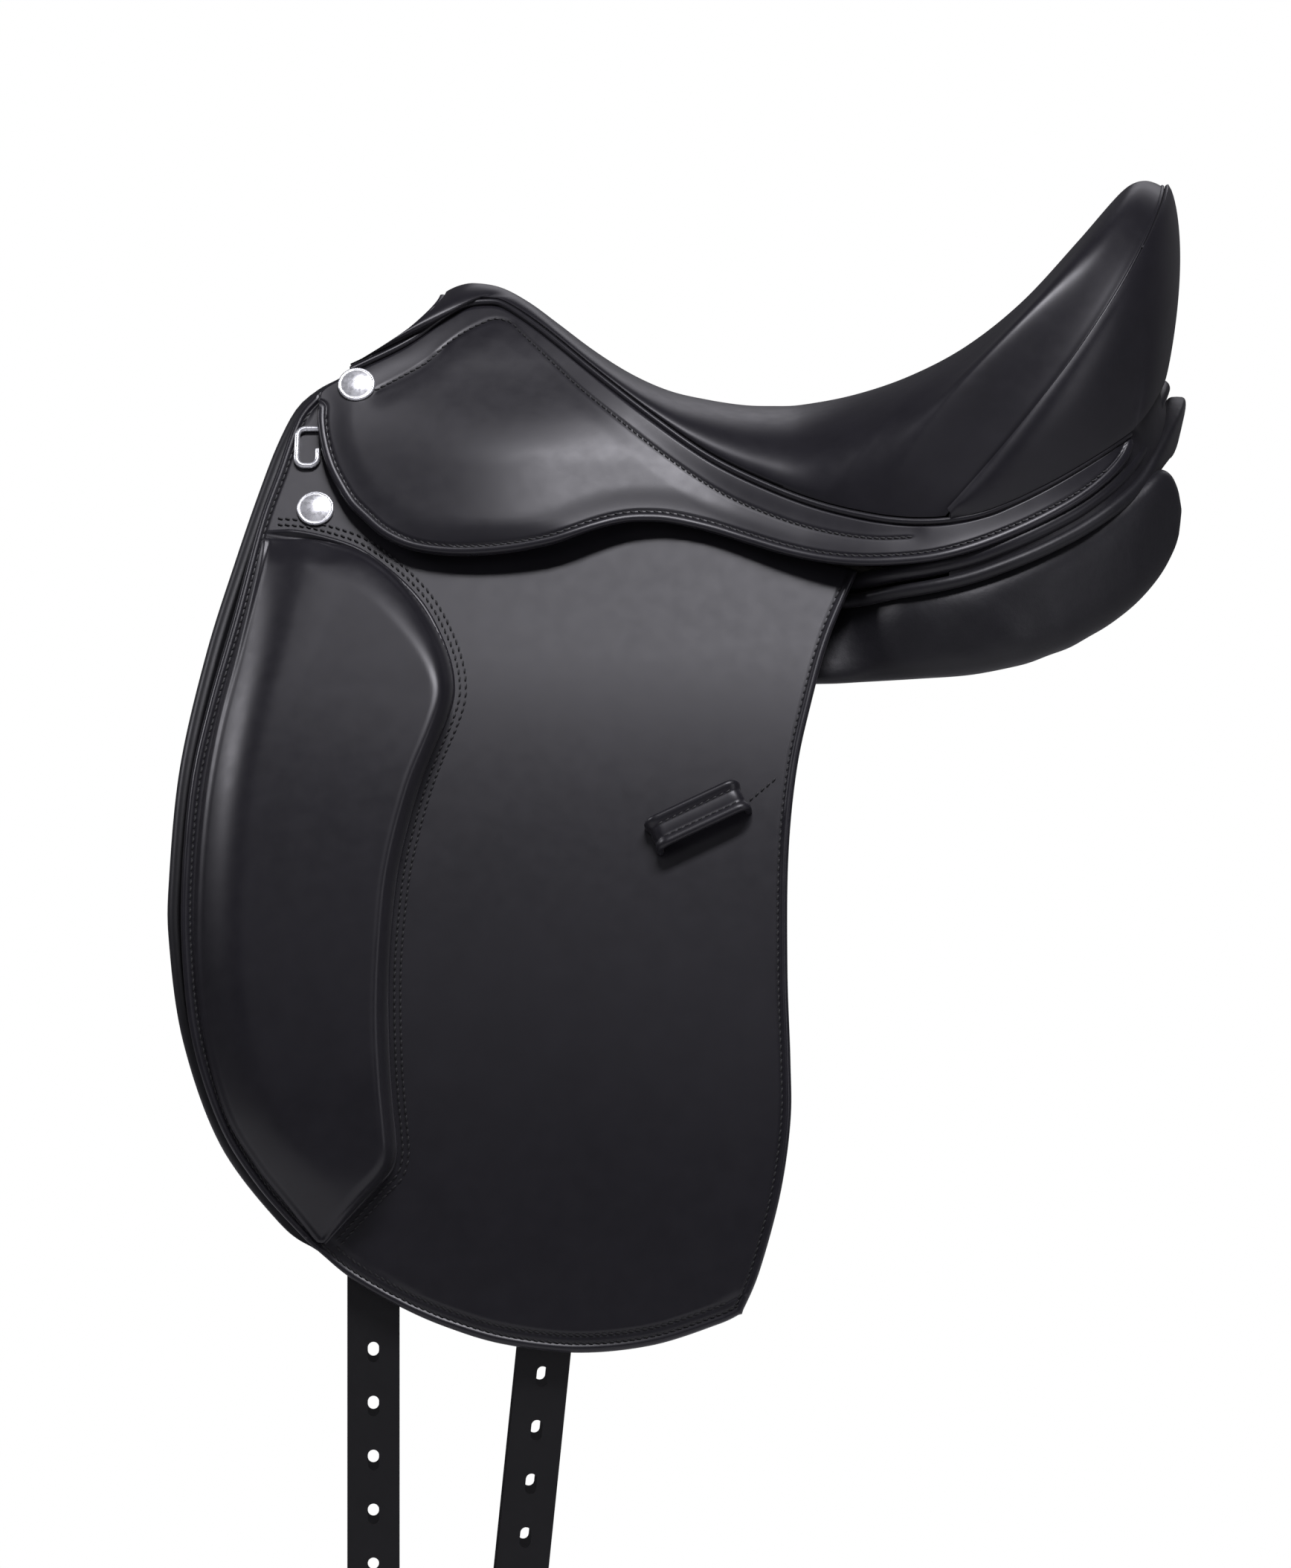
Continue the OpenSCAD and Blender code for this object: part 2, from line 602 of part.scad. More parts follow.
// Piping along one welt
module welt_pipe() {
  m = 6;
  n = len(side_x) - 1;
  mid = [for (x = side_x) [x, welt_s(x) + 0.4, welt_z(x)]];
  tube([for (i = [0:n])
    let (t = unit(mid[min(i + 1, n)] - mid[max(i - 1, 0)]), u = unit(cross([0, 0, 1], t)), v = cross(t, u))
    [for (j = [0:m - 1]) mid[i] + welt_r * (cos(360 * j / m) * u + sin(360 * j / m) * v)]]);
}

module seat_welts() {
  color("#101014") {
    welt_pipe();
    mirror([0, 1, 0])
      welt_pipe();
  }
}

function lobe_top(x) = lobe_a[1] + (lobe_b[1] - lobe_a[1]) * (x - lobe_a[0]) / (lobe_b[0] - lobe_a[0]);
// Skirt sheet over columns of [x, low, high] with rows between
module skirt_sheet(cols, rows) {
  outer = [for (c = cols) [for (j = [0:rows])
    let (z = lerp(c[1], c[2], j / rows)) side_p(c[0], z, skirt_lift(c[0], z) + skirt_t)]];
  inner = [for (c = cols) [for (j = [0:rows])
    let (z = lerp(c[1], c[2], j / rows)) side_p(c[0], z, skirt_lift(c[0], z))]];
  slab(outer, inner);
}

module skirt(near) {
  cols = [for (x = concat([-227.5, -222, -216], side_x))
    let (low = x < lobe_b[0] ? lobe_top(x) + hinge_gap : rise(skirt_low, x))
    [x, low, min(welt_z(x) - welt_gap - 0.3, 90 + 0.75 * (x + 227.5))]];
  color("#1f1f24")
  on_side(near)
  difference() {
    skirt_sheet(cols, 4);
    wall_frame(nail_skirt)
      out_rod(shank_r + 0.15, -30, 40);
  }
}

module skirt_lobe(near) {
  cols = [for (i = [0:2 * (len(lobe_edge) - 1)])
    let (p = along(lobe_edge, i / 2)) [p[0], p[1], lobe_top(p[0])]];
  color("#1f1f24")
  on_side(near)
  skirt_sheet(cols, 5);
}

module tree_frame() {
  k = 2;
  m = 8;
  half = concat(smooth(tree_line, k), [tree_line[len(tree_line) - 1]]);
  n = len(half);
  near = [for (i = [n - 2:-1:1]) let (p = half[i]) [p[0], -p[1], p[2], p[3], p[4], -p[5]]];
  loop = concat(half, near);
  q = len(loop);
  spot = function (i) let (p = loop[(i + q) % q]) [p[0], p[1], p[2]];
  color("#b08a5a")
  tube([for (i = [0:q - 1])
    let (
      p = loop[i], t = unit(spot(i + 1) - spot(i - 1)), up = [0, sin(p[5]), cos(p[5])],
      w = unit(cross(up, t)), v = cross(t, w)
    )
    [for (j = [0:m - 1])
      let (a = 360 * j / m + 22.5) spot(i) + p[3] * cos(a) * w + p[4] * sin(a) * v]], true);
}

// Arch of the head plate seen from the front, moved in from the tree's line
head_line = [for (p = [[0, 123], [14, 119], [25, 106], [35, 86], [42, 68], [48, 50], [53, 34]])
  [spread(p[0]), lift(p[1])]];
function arch_p(t, o) =
  let (p = along(head_line, t), d = along(head_line, min(t + 0.2, 6)) - along(head_line, max(t - 0.2, 0)))
  t == 0 ? [0, p[1] - o] : p + o * unit([-abs(d[1]), -abs(d[0])]);
function arch_side(o) = [for (i = [0:12]) arch_p(i / 2, o)];
function arch_line(o) = let (a = arch_side(o)) concat([for (i = [12:-1:1]) [-a[i][0], a[i][1]]], a);
rivet_p = [for (i = [3, 4.4]) along(head_line, i)];

module head_rivet_at(i) {
  for (g = [-1, 1])
    translate([-150, g * rivet_p[i][0], rivet_p[i][1]])
      rotate([g * (i == 0 ? 25 : 19), 0, 0])
        rotate([90 * g, 0, 0])
          children();
}

module head_plate() {
  far = arch_line(5.6);
  near = arch_line(5.6 + head_t);
  color("#8d9299")
  difference() {
    translate([-162, 0, 0])
      rotate([90, 0, 90])
        linear_extrude(24)
          polygon(concat(far, [for (i = [len(near) - 1:-1:0]) near[i]]));
    for (i = [0, 1])
      head_rivet_at(i)
        cylinder(h = 16, r = rivet_r + 0.1);
  }
}

module head_rivets() {
  color("#70757c")
  for (i = [0, 1])
    head_rivet_at(i) {
      translate([0, 0, 5.9])
        cylinder(h = head_t + 0.6, r = rivet_r);
      translate([0, 0, 6.2 + head_t])
        cylinder(h = 1.8, r1 = rivet_r + 2, r2 = rivet_r + 1.2);
    }
}

// Leather over the front of the head, from the seat's rim in to the arch
facing_x = -167;
function facing_column(a, k) =
  let (
    g = sign(a), p = seat_p(rim_x, a), f = unit(p - seat_p(rim_x + 3, a)),
    q = arch_p(6 * abs(a) / 79, head_t + 8), foot = [facing_x, g * q[0], q[1]],
    rim = [p[0] + 0.8 * f[0], g * min(abs(p[1]), welt_s(p[0] + 2) - 3.6), p[2] + 0.8 * f[2] - 1.4],
    lip = lerp(rim, foot, 0.12) + ease((abs(a) - 20) / 55) * [3, -3 * g, -2],
    e = ease((abs(a) - 25) / 50), way = unit([1 - 0.5 * e, 0.9 * g * e, 0])
  )
  [for (p = concat([for (t = [0, 0.35, 0.7, 1]) lerp(foot, lip, t)], [rim])) p - k * way];

module pommel_facing() {
  cols = function (k) [for (j = [1:rib_m - 1]) facing_column(lerp(-90, 90, j / rib_m), k)];
  face = function (k) let (c = cols(k)) [for (i = [0:4]) [for (p = c) p[i]]];
  color("#1e1e23")
  slab(face(cover_t), face(0));
}

module stirrup_bar(near) {
  back = -flap_t - seat_gap - plate_t;
  color("#9aa0a8")
  on_side(near)
  wall_frame(bar_p, bar_turn)
  difference() {
    union() {
      translate([bar_front - 6, back, -plate_w / 2 - 8])
        cube([plate_len + 8, plate_t, plate_w + 16]);
      translate([bar_front, back + plate_t / 2, -rod_r])
        cube([leg_len, rod_o - back - plate_t / 2, 2 * rod_r]);
      translate([bar_front, rod_o, 0])
        rotate([0, 90, 0])
          cylinder(h = plate_len - 8, r = rod_r);
      translate([bar_front + plate_len - 9, rod_o - rod_r, -rod_r])
        cube([10, 3, 2 * rod_r]);
      translate([bar_front + plate_len - 1, 0, 0])
        out_rod(2, rod_o - rod_r + 0.5, rod_o + rod_r - 1.4);
      translate([bar_front + plate_len + 1, 0, 0])
        out_rod(rod_r, rod_o - rod_r, rod_o - rod_r + 3);
    }
    for (x = [bar_front + 22, bar_front + plate_len - 8])
      translate([x, 0, -4])
        out_rod(rivet_r + 0.1, back - 1, back + plate_t + 1);
  }
}

module stirrup_catch(near) {
  color("#b4b9c0")
  on_side(near)
  wall_frame(bar_p, bar_turn)
  translate([bar_front + plate_len - 1, 0, 0])
  difference() {
    union() {
      out_rod(rod_r, rod_o - rod_r + 3.4, rod_o + rod_r - 1.8);
      translate([0, rod_o - rod_r + 3.4, -2.4])
        cube([16, 2 * rod_r - 5.2, 4.8]);
    }
    out_rod(2.1, 0, 20);
  }
}

module bar_rivets() {
  back = -flap_t - seat_gap - plate_t;
  color("#70757c")
  for (g = [false, true])
    on_side(g)
    wall_frame(bar_p, bar_turn)
    for (x = [bar_front + 22, bar_front + plate_len - 8])
      translate([x, 0, -4]) {
        out_rod(rivet_r, back - 2, back + plate_t - 0.2);
        out_rod(rivet_r + 1.6, back - 2.4, back - 0.4);
      }
}

// Billet seen from the side, in a frame with its pivot at the origin
module billet(near, i) {
  p = [web_x[i], web_z[i]];
  tip = -flap_drop - billet_tail;
  drop = (p[1] - tip) / cos(billet_lean[i]);
  first = (p[1] - hole_top[i]) / cos(billet_lean[i]);
  h = billet_w / 2;
  color("#232328")
  on_side(near)
  intersection() {
    wall_band(billet_o - billet_t, billet_o);
    translate([p[0], 420, p[1]])
      rotate([90, 0, 0])
        rotate(-billet_lean[i])
          linear_extrude(420)
            difference() {
              union() {
                circle(h);
                polygon([[-h, 0], [-h, -drop + 16], [-5, -drop], [5, -drop], [h, -drop + 16], [h, 0]]);
              }
              for (k = [0:holes - 1])
                translate([0, -first - k * hole_pitch]) {
                  translate([-hole_w / 2, -(hole_l - hole_w) / 2])
                    square([hole_w, hole_l - hole_w]);
                  for (g = [-1, 1])
                    translate([0, g * (hole_l - hole_w) / 2])
                      circle(hole_w / 2);
                }
            }
  }
}

module girth_webs() {
  color("#cfc8b6")
  for (g = [false, true], i = [0, 1])
    on_side(g)
    intersection() {
      wall_band(billet_o - billet_t, -flap_t - seat_gap);
      translate([web_x[i], 420, web_z[i]])
        rotate([90, 0, 0])
          linear_extrude(420)
            difference() {
              translate([-billet_w / 2 - 3, 1])
                square([billet_w + 6, billet_w / 2 + 16]);
              circle(billet_w / 2 + seat_gap);
            }
    }
}

// Domed nail head with its shank, outward from a leather face
module nail(face, deep) {
  translate([0, face + seat_gap, 0])
    rotate([-90, 0, 0]) {
      rotate_extrude()
        polygon(concat(
          [[0, 0], [nail_r, 0], [nail_r, 0.9], [nail_r - 0.8, 1.3]],
          [for (i = [1:6])
            let (t = i / 6) [(nail_r - 0.8) * (1 - t), 1.3 + (nail_h - 1.3) * (1 - pow(1 - t, 2))]]
        ));
      translate([0, 0, -deep])
        cylinder(h = deep + 0.5, r = shank_r);
    }
}

// Offset of the skirt's outer face from the flap plane at its nail
nail_tuck = pommel_tuck * pow((nail_skirt[1] - 70) / 66, 2);
nail_face = skirt_o + (rise(hip_line, nail_skirt[0]) - nail_tuck) * cos(wall_slope);

module skirt_nails() {
  color("#d9dce0")
  for (g = [false, true])
    on_side(g)
    wall_frame(nail_skirt)
    rotate([3, 0, 0])
    nail(nail_face + 0.5, skirt_o + 4);
}

module flap_nails() {
  color("#d9dce0")
  for (g = [false, true])
    on_side(g)
    wall_frame(nail_flap)
    nail(0, flap_t + 1);
}

dee_p = [-233.8, 68];
dee_o = dee_r + 0.4;

// Quarter bend of the dee wire
module dee_bend(r) {
  rotate_extrude(angle = 90)
    translate([r, 0])
      circle(dee_r, $fn = 24);
}

module dee_ring(near) {
  w = 11.4;
  h = 22;
  r = 4.5;
  color("#dfe2e6")
  on_side(near)
  wall_frame(dee_p)
  translate([0, dee_o, 0])
  rotate([90, 0, 0]) {
    translate([r - w / 2, 0, 0])
      rotate([0, 90, 0])
        cylinder(h = 23.5, r = dee_r, $fn = 24);
    translate([r - w / 2, -r, 0])
      rotate([0, 0, 90])
        dee_bend(r);
    translate([-w / 2, r - h, 0])
      rotate([-90, 0, 0])
        cylinder(h = h - 2 * r, r = dee_r, $fn = 24);
    translate([r - w / 2, r - h, 0])
      rotate([0, 0, 180])
        dee_bend(r);
    translate([r - w / 2, -h, 0])
      rotate([0, 90, 0])
        cylinder(h = w - 2 * r, r = dee_r, $fn = 24);
    translate([w / 2 - r, r - h, 0])
      rotate([0, 0, 270])
        dee_bend(r);
    translate([w / 2, r - h, 0])
      rotate([-90, 0, 0])
        cylinder(h = 5, r = dee_r, $fn = 24);
  }
}

module dee_chape(near) {
  color("#26262b")
  on_side(near)
  wall_frame(dee_p)
  difference() {
    translate([9, 0.15, -3])
      cube([12, 2 * dee_r + 0.45, 6]);
    translate([8, dee_o, 0])
      rotate([0, 90, 0])
        cylinder(h = 20, r = dee_r + 0.1, $fn = 24);
  }
}

// Full horseshoe of a line of points given for one side
function both_sides(p) = concat(p, [for (i = [len(p) - 2:-1:0]) [p[i][0], -p[i][1], p[i][2]]]);

// Horseshoe roll with a half thickness and a half height along its line
module horseshoe(line, thick, tall, lean) {
  k = 2;
  m = 8;
  p = both_sides(line);
  n = k * (len(p) - 1);
  mid = [for (i = [0:n]) along(p, i / k)];
  tube([for (i = [0:n])
    let (
      t = unit(mid[min(i + 1, n)] - mid[max(i - 1, 0)]), u = unit(cross(t, [0, 0, 1])), v = cross(u, t),
      h = tall(min(i, n - i) / k)
    )
    [for (j = [0:m - 1])
      let (a = -360 * (j + 0.5) / m)
      mid[i] + (thick * cos(a) + lean * (h - thick) * sin(a)) * u + h * sin(a) * v]]);
}

module cantle_roll() {
  color("#17171b")
  horseshoe(roll_line, roll_r, function (t) roll_r, 0);
}

module panel_band() {
  color("#1a1a1e")
  horseshoe(band_line, band_r, function (t) band_r * rise(band_tall, t), 0.3);
}

// Rounded four-cornered section of the panel at a place along it, closing in at both ends
function panel_ring(x) =
  let (
    m = 20, e = x < 0 ? 0 : 1, c = min(panel_x[1], max(panel_x[0], x)),
    f = abs((x - c) / (panel_ends[e] - panel_x[e])), k = pow(max(0, 1 - pow(f, 1.7)), 0.6),
    ti = rise(panel_ti, x), to = rise(panel_to, x), bi = rise(panel_bi, c), bo = rise(panel_bo, c),
    so = function (z) lerp(wall_s(c, z, panel_o), rise(panel_side, c), ease((c - 40) / 45))
  )
  [for (j = [0:m - 1])
    let (
      a = -360 * j / m,
      u = 0.5 + 0.5 * sign(cos(a)) * pow(abs(cos(a)), 0.56),
      v = 0.5 + 0.5 * sign(sin(a)) * pow(abs(sin(a)), 0.56),
      zi = lerp(bi, ti, v), zo = lerp(bo, to, v), p = [lerp(panel_gullet, so(zo), u), lerp(zi, zo, u)],
      q = lerp(panel_mid[e], p, k)
    )
    [x, q[0], q[1]]];

module panel(near) {
  n = 24;
  color("#141417")
  on_side(near)
  tube([for (i = [0:n])
    let (t = i / n - 0.125 * sin(360 * i / n))
    panel_ring(lerp(panel_ends[0] + 0.3, panel_ends[1] - 0.3, t))]);
}

tree_frame();
head_plate();
head_rivets();
pommel_facing();
seat_webs();
seat_foam();
seat_cover();
cantle_board();
cantle_gusset();
seat_welts();
skirt(true);  // skirt_left
skirt(false);  // skirt_right
skirt_lobe(true);  // skirt_lobe_left
skirt_lobe(false);  // skirt_lobe_right
flap_head(true);  // flap_head_left
flap_head(false);  // flap_head_right
flap(true);  // flap_left
flap(false);  // flap_right
thigh_block(true);  // thigh_block_left
thigh_block(false);  // thigh_block_right
keeper(true);  // keeper_left
keeper(false);  // keeper_right
sweat_flap(true);  // sweat_flap_left
sweat_flap(false);  // sweat_flap_right
panel(true);  // panel_left
panel(false);  // panel_right
cantle_roll();
panel_band();
girth_webs();
billet(true, 0);  // front_billet_left
billet(false, 0);  // front_billet_right
billet(true, 1);  // rear_billet_left
billet(false, 1);  // rear_billet_right
stirrup_bar(true);  // stirrup_bar_left
stirrup_bar(false);  // stirrup_bar_right
stirrup_catch(true);  // stirrup_catch_left
stirrup_catch(false);  // stirrup_catch_right
bar_rivets();
skirt_nails();
flap_nails();
dee_chape(true);  // dee_chape_left
dee_chape(false);  // dee_chape_right
dee_ring(true);  // dee_ring_left
dee_ring(false);  // dee_ring_right
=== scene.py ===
"""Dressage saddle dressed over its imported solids.

Lengths inside the classes are in millimetres, in the frame of the solids: +X to the cantle, +Z up,
the near side at -Y. Meshes are written in metres.
"""
import logging
import math
from dataclasses import dataclass
from enum import Enum
from typing import Sequence

import bmesh
import bpy
import numpy as np
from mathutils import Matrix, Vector


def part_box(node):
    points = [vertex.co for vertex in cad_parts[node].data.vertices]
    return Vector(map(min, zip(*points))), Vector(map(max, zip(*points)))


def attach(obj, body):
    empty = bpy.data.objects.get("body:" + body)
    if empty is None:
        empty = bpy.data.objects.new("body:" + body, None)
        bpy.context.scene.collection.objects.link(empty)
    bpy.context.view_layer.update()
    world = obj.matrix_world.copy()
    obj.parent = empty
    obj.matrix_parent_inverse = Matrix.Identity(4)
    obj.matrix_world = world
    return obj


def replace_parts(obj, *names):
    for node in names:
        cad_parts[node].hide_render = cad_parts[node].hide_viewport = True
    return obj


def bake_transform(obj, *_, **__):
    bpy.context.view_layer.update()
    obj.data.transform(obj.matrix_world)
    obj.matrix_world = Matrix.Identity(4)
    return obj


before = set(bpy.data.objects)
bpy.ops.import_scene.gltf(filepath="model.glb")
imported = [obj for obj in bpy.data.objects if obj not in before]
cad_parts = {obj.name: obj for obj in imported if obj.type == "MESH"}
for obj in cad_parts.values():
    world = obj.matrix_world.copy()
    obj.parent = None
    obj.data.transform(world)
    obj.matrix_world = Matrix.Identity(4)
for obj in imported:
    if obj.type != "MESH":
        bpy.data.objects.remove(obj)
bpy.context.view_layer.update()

MM = 0.001
LOG = logging.getLogger("saddle")
Array = np.ndarray
Points = Sequence[Sequence[float]]
Colour = tuple[float, float, float]
Material = bpy.types.Material
Object = bpy.types.Object
Socket = bpy.types.NodeSocket


class Side(Enum):
    """Side of the saddle: the near side is the left one."""

    LEFT = "left"
    RIGHT = "right"

    @property
    def sign(self) -> float:
        """Sign of Y on this side."""
        return -1.0 if self is Side.LEFT else 1.0


def ease(t: Array | float) -> Array:
    """Smooth rise from 0 to 1: three t squared less two t cubed, held at both ends."""
    u = np.clip(t, 0.0, 1.0)
    return u * u * (3 - 2 * u)


def bump(t: Array | float) -> Array:
    """Smooth hill of height 1 at t = 0 that ends at t = -1 and t = 1."""
    return np.clip(1 - np.asarray(t, float) ** 2, 0, 1) ** 2


def bell(d: Array, at: float, wide: float) -> Array:
    """Bell of height 1 at a distance: e to the minus square of the way from it over its width."""
    return np.exp(-((d - at) / wide) ** 2)


def ridge(d: Array, at: float, half: float) -> Array:
    """Half-round ridge of height 1 at a distance that ends at half its width to both sides."""
    return np.sqrt(np.clip(1 - ((d - at) / half) ** 2, 0, 1))


def lerp(a: Array | float, b: Array | float, t: Array | float) -> Array:
    """Straight mix of a and b."""
    return a + (np.asarray(b) - a) * t


def unit(v: Array) -> Array:
    """Vectors along the last axis made of length 1."""
    return v / np.maximum(np.linalg.norm(v, axis=-1, keepdims=True), 1e-12)


def rise(points: Points, x: Array | float) -> Array:
    """Smooth height at x over a line of points that runs in x.

    The formula is a cubic Hermite stretch between neighbours, with the slope at a point taken from
    the points on both sides of it.

    Args:
        points: Pairs of place and height in rising order of place.
        x: Places asked for.

    Returns:
        Heights, held at both ends.
    """
    p = np.asarray(points, float)
    x = np.asarray(x, float)
    n = len(p) - 1
    i = np.clip(np.searchsorted(p[:, 0], x, side="right") - 1, 0, n - 1)
    a, b, c, d = p[np.maximum(i - 1, 0)], p[i], p[i + 1], p[np.minimum(i + 2, n)]
    h = c[..., 0] - b[..., 0]
    f = np.clip((x - b[..., 0]) / h, 0, 1)
    m = (c[..., 1] - a[..., 1]) / (c[..., 0] - a[..., 0]) * h
    k = (d[..., 1] - b[..., 1]) / (d[..., 0] - b[..., 0]) * h
    return ((2 * f**3 - 3 * f**2 + 1) * b[..., 1] + (f**3 - 2 * f**2 + f) * m
            + (3 * f**2 - 2 * f**3) * c[..., 1] + (f**3 - f**2) * k)


def along(points: Points, t: Array | float) -> Array:
    """Smooth place at t along a line of points, one unit of t per stretch (Catmull-Rom).

    Args:
        points: Points of two or three numbers.
        t: Places along the line.

    Returns:
        Points, one for each t.
    """
    p = np.asarray(points, float)
    t = np.asarray(t, float)
    n = len(p) - 1
    i = np.clip(np.floor(t).astype(int), 0, n - 1)
    f = (t - i)[..., None]
    a, b, c, d = p[np.maximum(i - 1, 0)], p[i], p[i + 1], p[np.minimum(i + 2, n)]
    return 0.5 * (2 * b + (c - a) * f + (2 * a - 5 * b + 4 * c - d) * f**2
                  + (3 * b - a - 3 * c + d) * f**3)


class Curve:
    """Smooth line through points, read by its share of length."""

    def __init__(self, points: Points) -> None:
        """Samples the smooth line closely and keeps the running length."""
        n = len(points) - 1
        self.dense = along(points, np.linspace(0, n, 24 * n + 1))
        step = np.linalg.norm(np.diff(self.dense, axis=0), axis=1)
        self.run = np.concatenate([[0.0], np.cumsum(step)])
        self.length = float(self.run[-1])

    def at(self, t: Array | float) -> Array:
        """Points at shares t of the length."""
        s = np.asarray(t, float) * self.length
        return np.stack([np.interp(s, self.run, column) for column in self.dense.T], -1)

    def spaced(self, pitch: float, start: float = 0.0, stop: float = 1.0) -> Array:
        """Points about a pitch apart between two shares of the length."""
        n = max(2, int(round((stop - start) * self.length / pitch)) + 1)
        return self.at(np.linspace(start, stop, n))


def inset(line: Array, d: float) -> Array:
    """Flat line moved d to its left, by the normal of its direction at each point."""
    t = unit(np.gradient(line, axis=0))
    return line + d * np.stack([-t[:, 1], t[:, 0]], -1)


def distance(points: Array, line: Array) -> Array:
    """Shortest distance of flat points from a flat line of straight stretches.

    Args:
        points: Points of any grid shape, last axis two.
        line: Points of the line.

    Returns:
        Distances in the grid's shape.
    """
    flat = points.reshape(-1, 2)
    a, d = line[:-1], np.diff(line, axis=0)
    size = np.maximum((d * d).sum(1), 1e-12)
    parts = []
    for part in np.array_split(flat, max(1, len(flat) // 4000)):
        w = part[:, None, :] - a[None]
        t = np.clip((w * d[None]).sum(-1) / size, 0, 1)
        parts.append(np.linalg.norm(w - t[..., None] * d[None], axis=-1).min(1))
    return np.concatenate(parts).reshape(points.shape[:-1])


def close_ends(n_edge: int, share: float, n_mid: int) -> Array:
    """Shares from 0 to 1 with n_edge close steps at both ends and n_mid wide ones between."""
    return np.concatenate([np.linspace(0, share, n_edge, endpoint=False),
                           np.linspace(share, 1 - share, n_mid, endpoint=False),
                           np.linspace(1 - share, 1, n_edge + 1)])


def patch(front: Curve, rear: Curve, low: Curve, high: Curve, u: Array, v: Array) -> Array:
    """Flat grid filled in between four edges.

    The formula adds the straight mix of the two sides to the straight mix of the lower and upper
    edges, and takes away the straight mix of the four corners.

    Args:
        front: Edge at u = 0, rising.
        rear: Edge at u = 1, rising.
        low: Edge at v = 0.
        high: Edge at v = 1.
        u: Shares from front to rear.
        v: Shares from low to high.

    Returns:
        Grid of points, rows by v and columns by u.
    """
    f, r = front.at(v)[:, None], rear.at(v)[:, None]
    lo, hi = low.at(u)[None], high.at(u)[None]
    uu, vv = u[None, :, None], v[:, None, None]
    corners = ((1 - uu) * (1 - vv) * f[0] + uu * (1 - vv) * r[0]
               + (1 - uu) * vv * f[-1] + uu * vv * r[-1])
    return (1 - uu) * f + uu * r + (1 - vv) * lo + vv * hi - corners


def quads(index: Array, wrap: bool = False) -> Array:
    """Four-cornered faces of a grid of vertex numbers, its columns joined round where asked."""
    a = np.hstack([index, index[:, :1]]) if wrap else index
    return np.stack([a[:-1, :-1], a[1:, :-1], a[1:, 1:], a[:-1, 1:]], -1).reshape(-1, 4)


@dataclass
class Form:
    """Points, faces and edge wear of a mesh being made."""

    points: Array
    faces: list
    wear: Array | None = None

    def worn(self) -> Array:
        """Edge wear at each point, none where it wasn't set."""
        return np.zeros(len(self.points)) if self.wear is None else self.wear


def shell(front: Array, back: Array, bulge: float = 0.0, wear: Array | None = None) -> Form:
    """Closed solid between two grids of the same size with a rounded rim.

    The rim has three rings: the straight mix of both borders plus a half sine of the bulge,
    outward from the grid's border.

    Args:
        front: Outer grid of points.
        back: Inner grid of points.
        bulge: Height of the rim's rounding.
        wear: Share of edge wear on the outer grid.

    Returns:
        The closed form.
    """
    n, m = front.shape[:2]
    index = np.arange(n * m).reshape(n, m)
    loop = np.concatenate([index[0, :], index[1:, -1], index[-1, -2::-1], index[-2:0:-1, 0]])
    i, j = loop // m, loop % m
    mid = 0.5 * (front + back)
    out = unit(mid[i, j] - mid[np.clip(i, 1, n - 2), np.clip(j, 1, m - 2)])
    shares = np.array([0.2, 0.5, 0.8])
    rings = [lerp(front[i, j], back[i, j], t) + bulge * math.sin(math.pi * t) * out for t in shares]
    k, r = n * m, len(loop)
    between = [2 * k + q * r + np.arange(r) for q in range(len(shares))]
    levels = np.stack([loop] + between + [loop + k])
    faces = np.concatenate([quads(index), quads(index + k)[:, ::-1], quads(levels, wrap=True)])
    points = np.concatenate([front.reshape(-1, 3), back.reshape(-1, 3)] + rings)
    worn = np.zeros(len(points))
    if wear is not None:
        worn[:k] = wear.reshape(-1)
        worn[2 * k:] = 1.0
    return Form(points, faces.tolist(), worn)


def tube(rings: Array) -> Form:
    """Tube through rings of points with a flat cap at both ends."""
    n, m = rings.shape[:2]
    index = np.arange(n * m).reshape(n, m)
    faces = quads(index, wrap=True).tolist() + [index[0].tolist(), index[-1, ::-1].tolist()]
    return Form(rings.reshape(-1, 3), faces)


def carried(path: Array, normal: Array, section: Array) -> Form:
    """Profile carried along a path.

    A ring point is the path's point plus the section's first number times the sideways direction
    (path direction across normal) plus its second number times the normal.

    Args:
        path: Points of the path.
        normal: Outward direction at each point.
        section: Profile points, one list for all or one for each path point.

    Returns:
        The closed form.
    """
    t = unit(np.gradient(path, axis=0))
    side = unit(np.cross(t, normal))
    up = np.cross(side, t)
    s = np.broadcast_to(section, (len(path),) + np.shape(section)[-2:])
    return tube(path[:, None] + s[..., :1] * side[:, None] + s[..., 1:] * up[:, None])


def joined(forms: Sequence[Form]) -> Form:
    """Several forms as one."""
    base = np.cumsum([0] + [len(f.points) for f in forms])
    faces = [[v + int(b) for v in face] for f, b in zip(forms, base) for face in f.faces]
    points = np.concatenate([f.points for f in forms])
    return Form(points, faces, np.concatenate([f.worn() for f in forms]))


def normals(grid: Array) -> Array:
    """Unit normals of a grid by the cross of its row and column steps."""
    return unit(np.cross(np.gradient(grid, axis=0), np.gradient(grid, axis=1)))


def placed(name: str, data: bpy.types.ID) -> Object:
    """New object in the scene that holds a mesh, lamp or camera."""
    item = bpy.data.objects.new(name, data)
    bpy.context.scene.collection.objects.link(item)
    return item


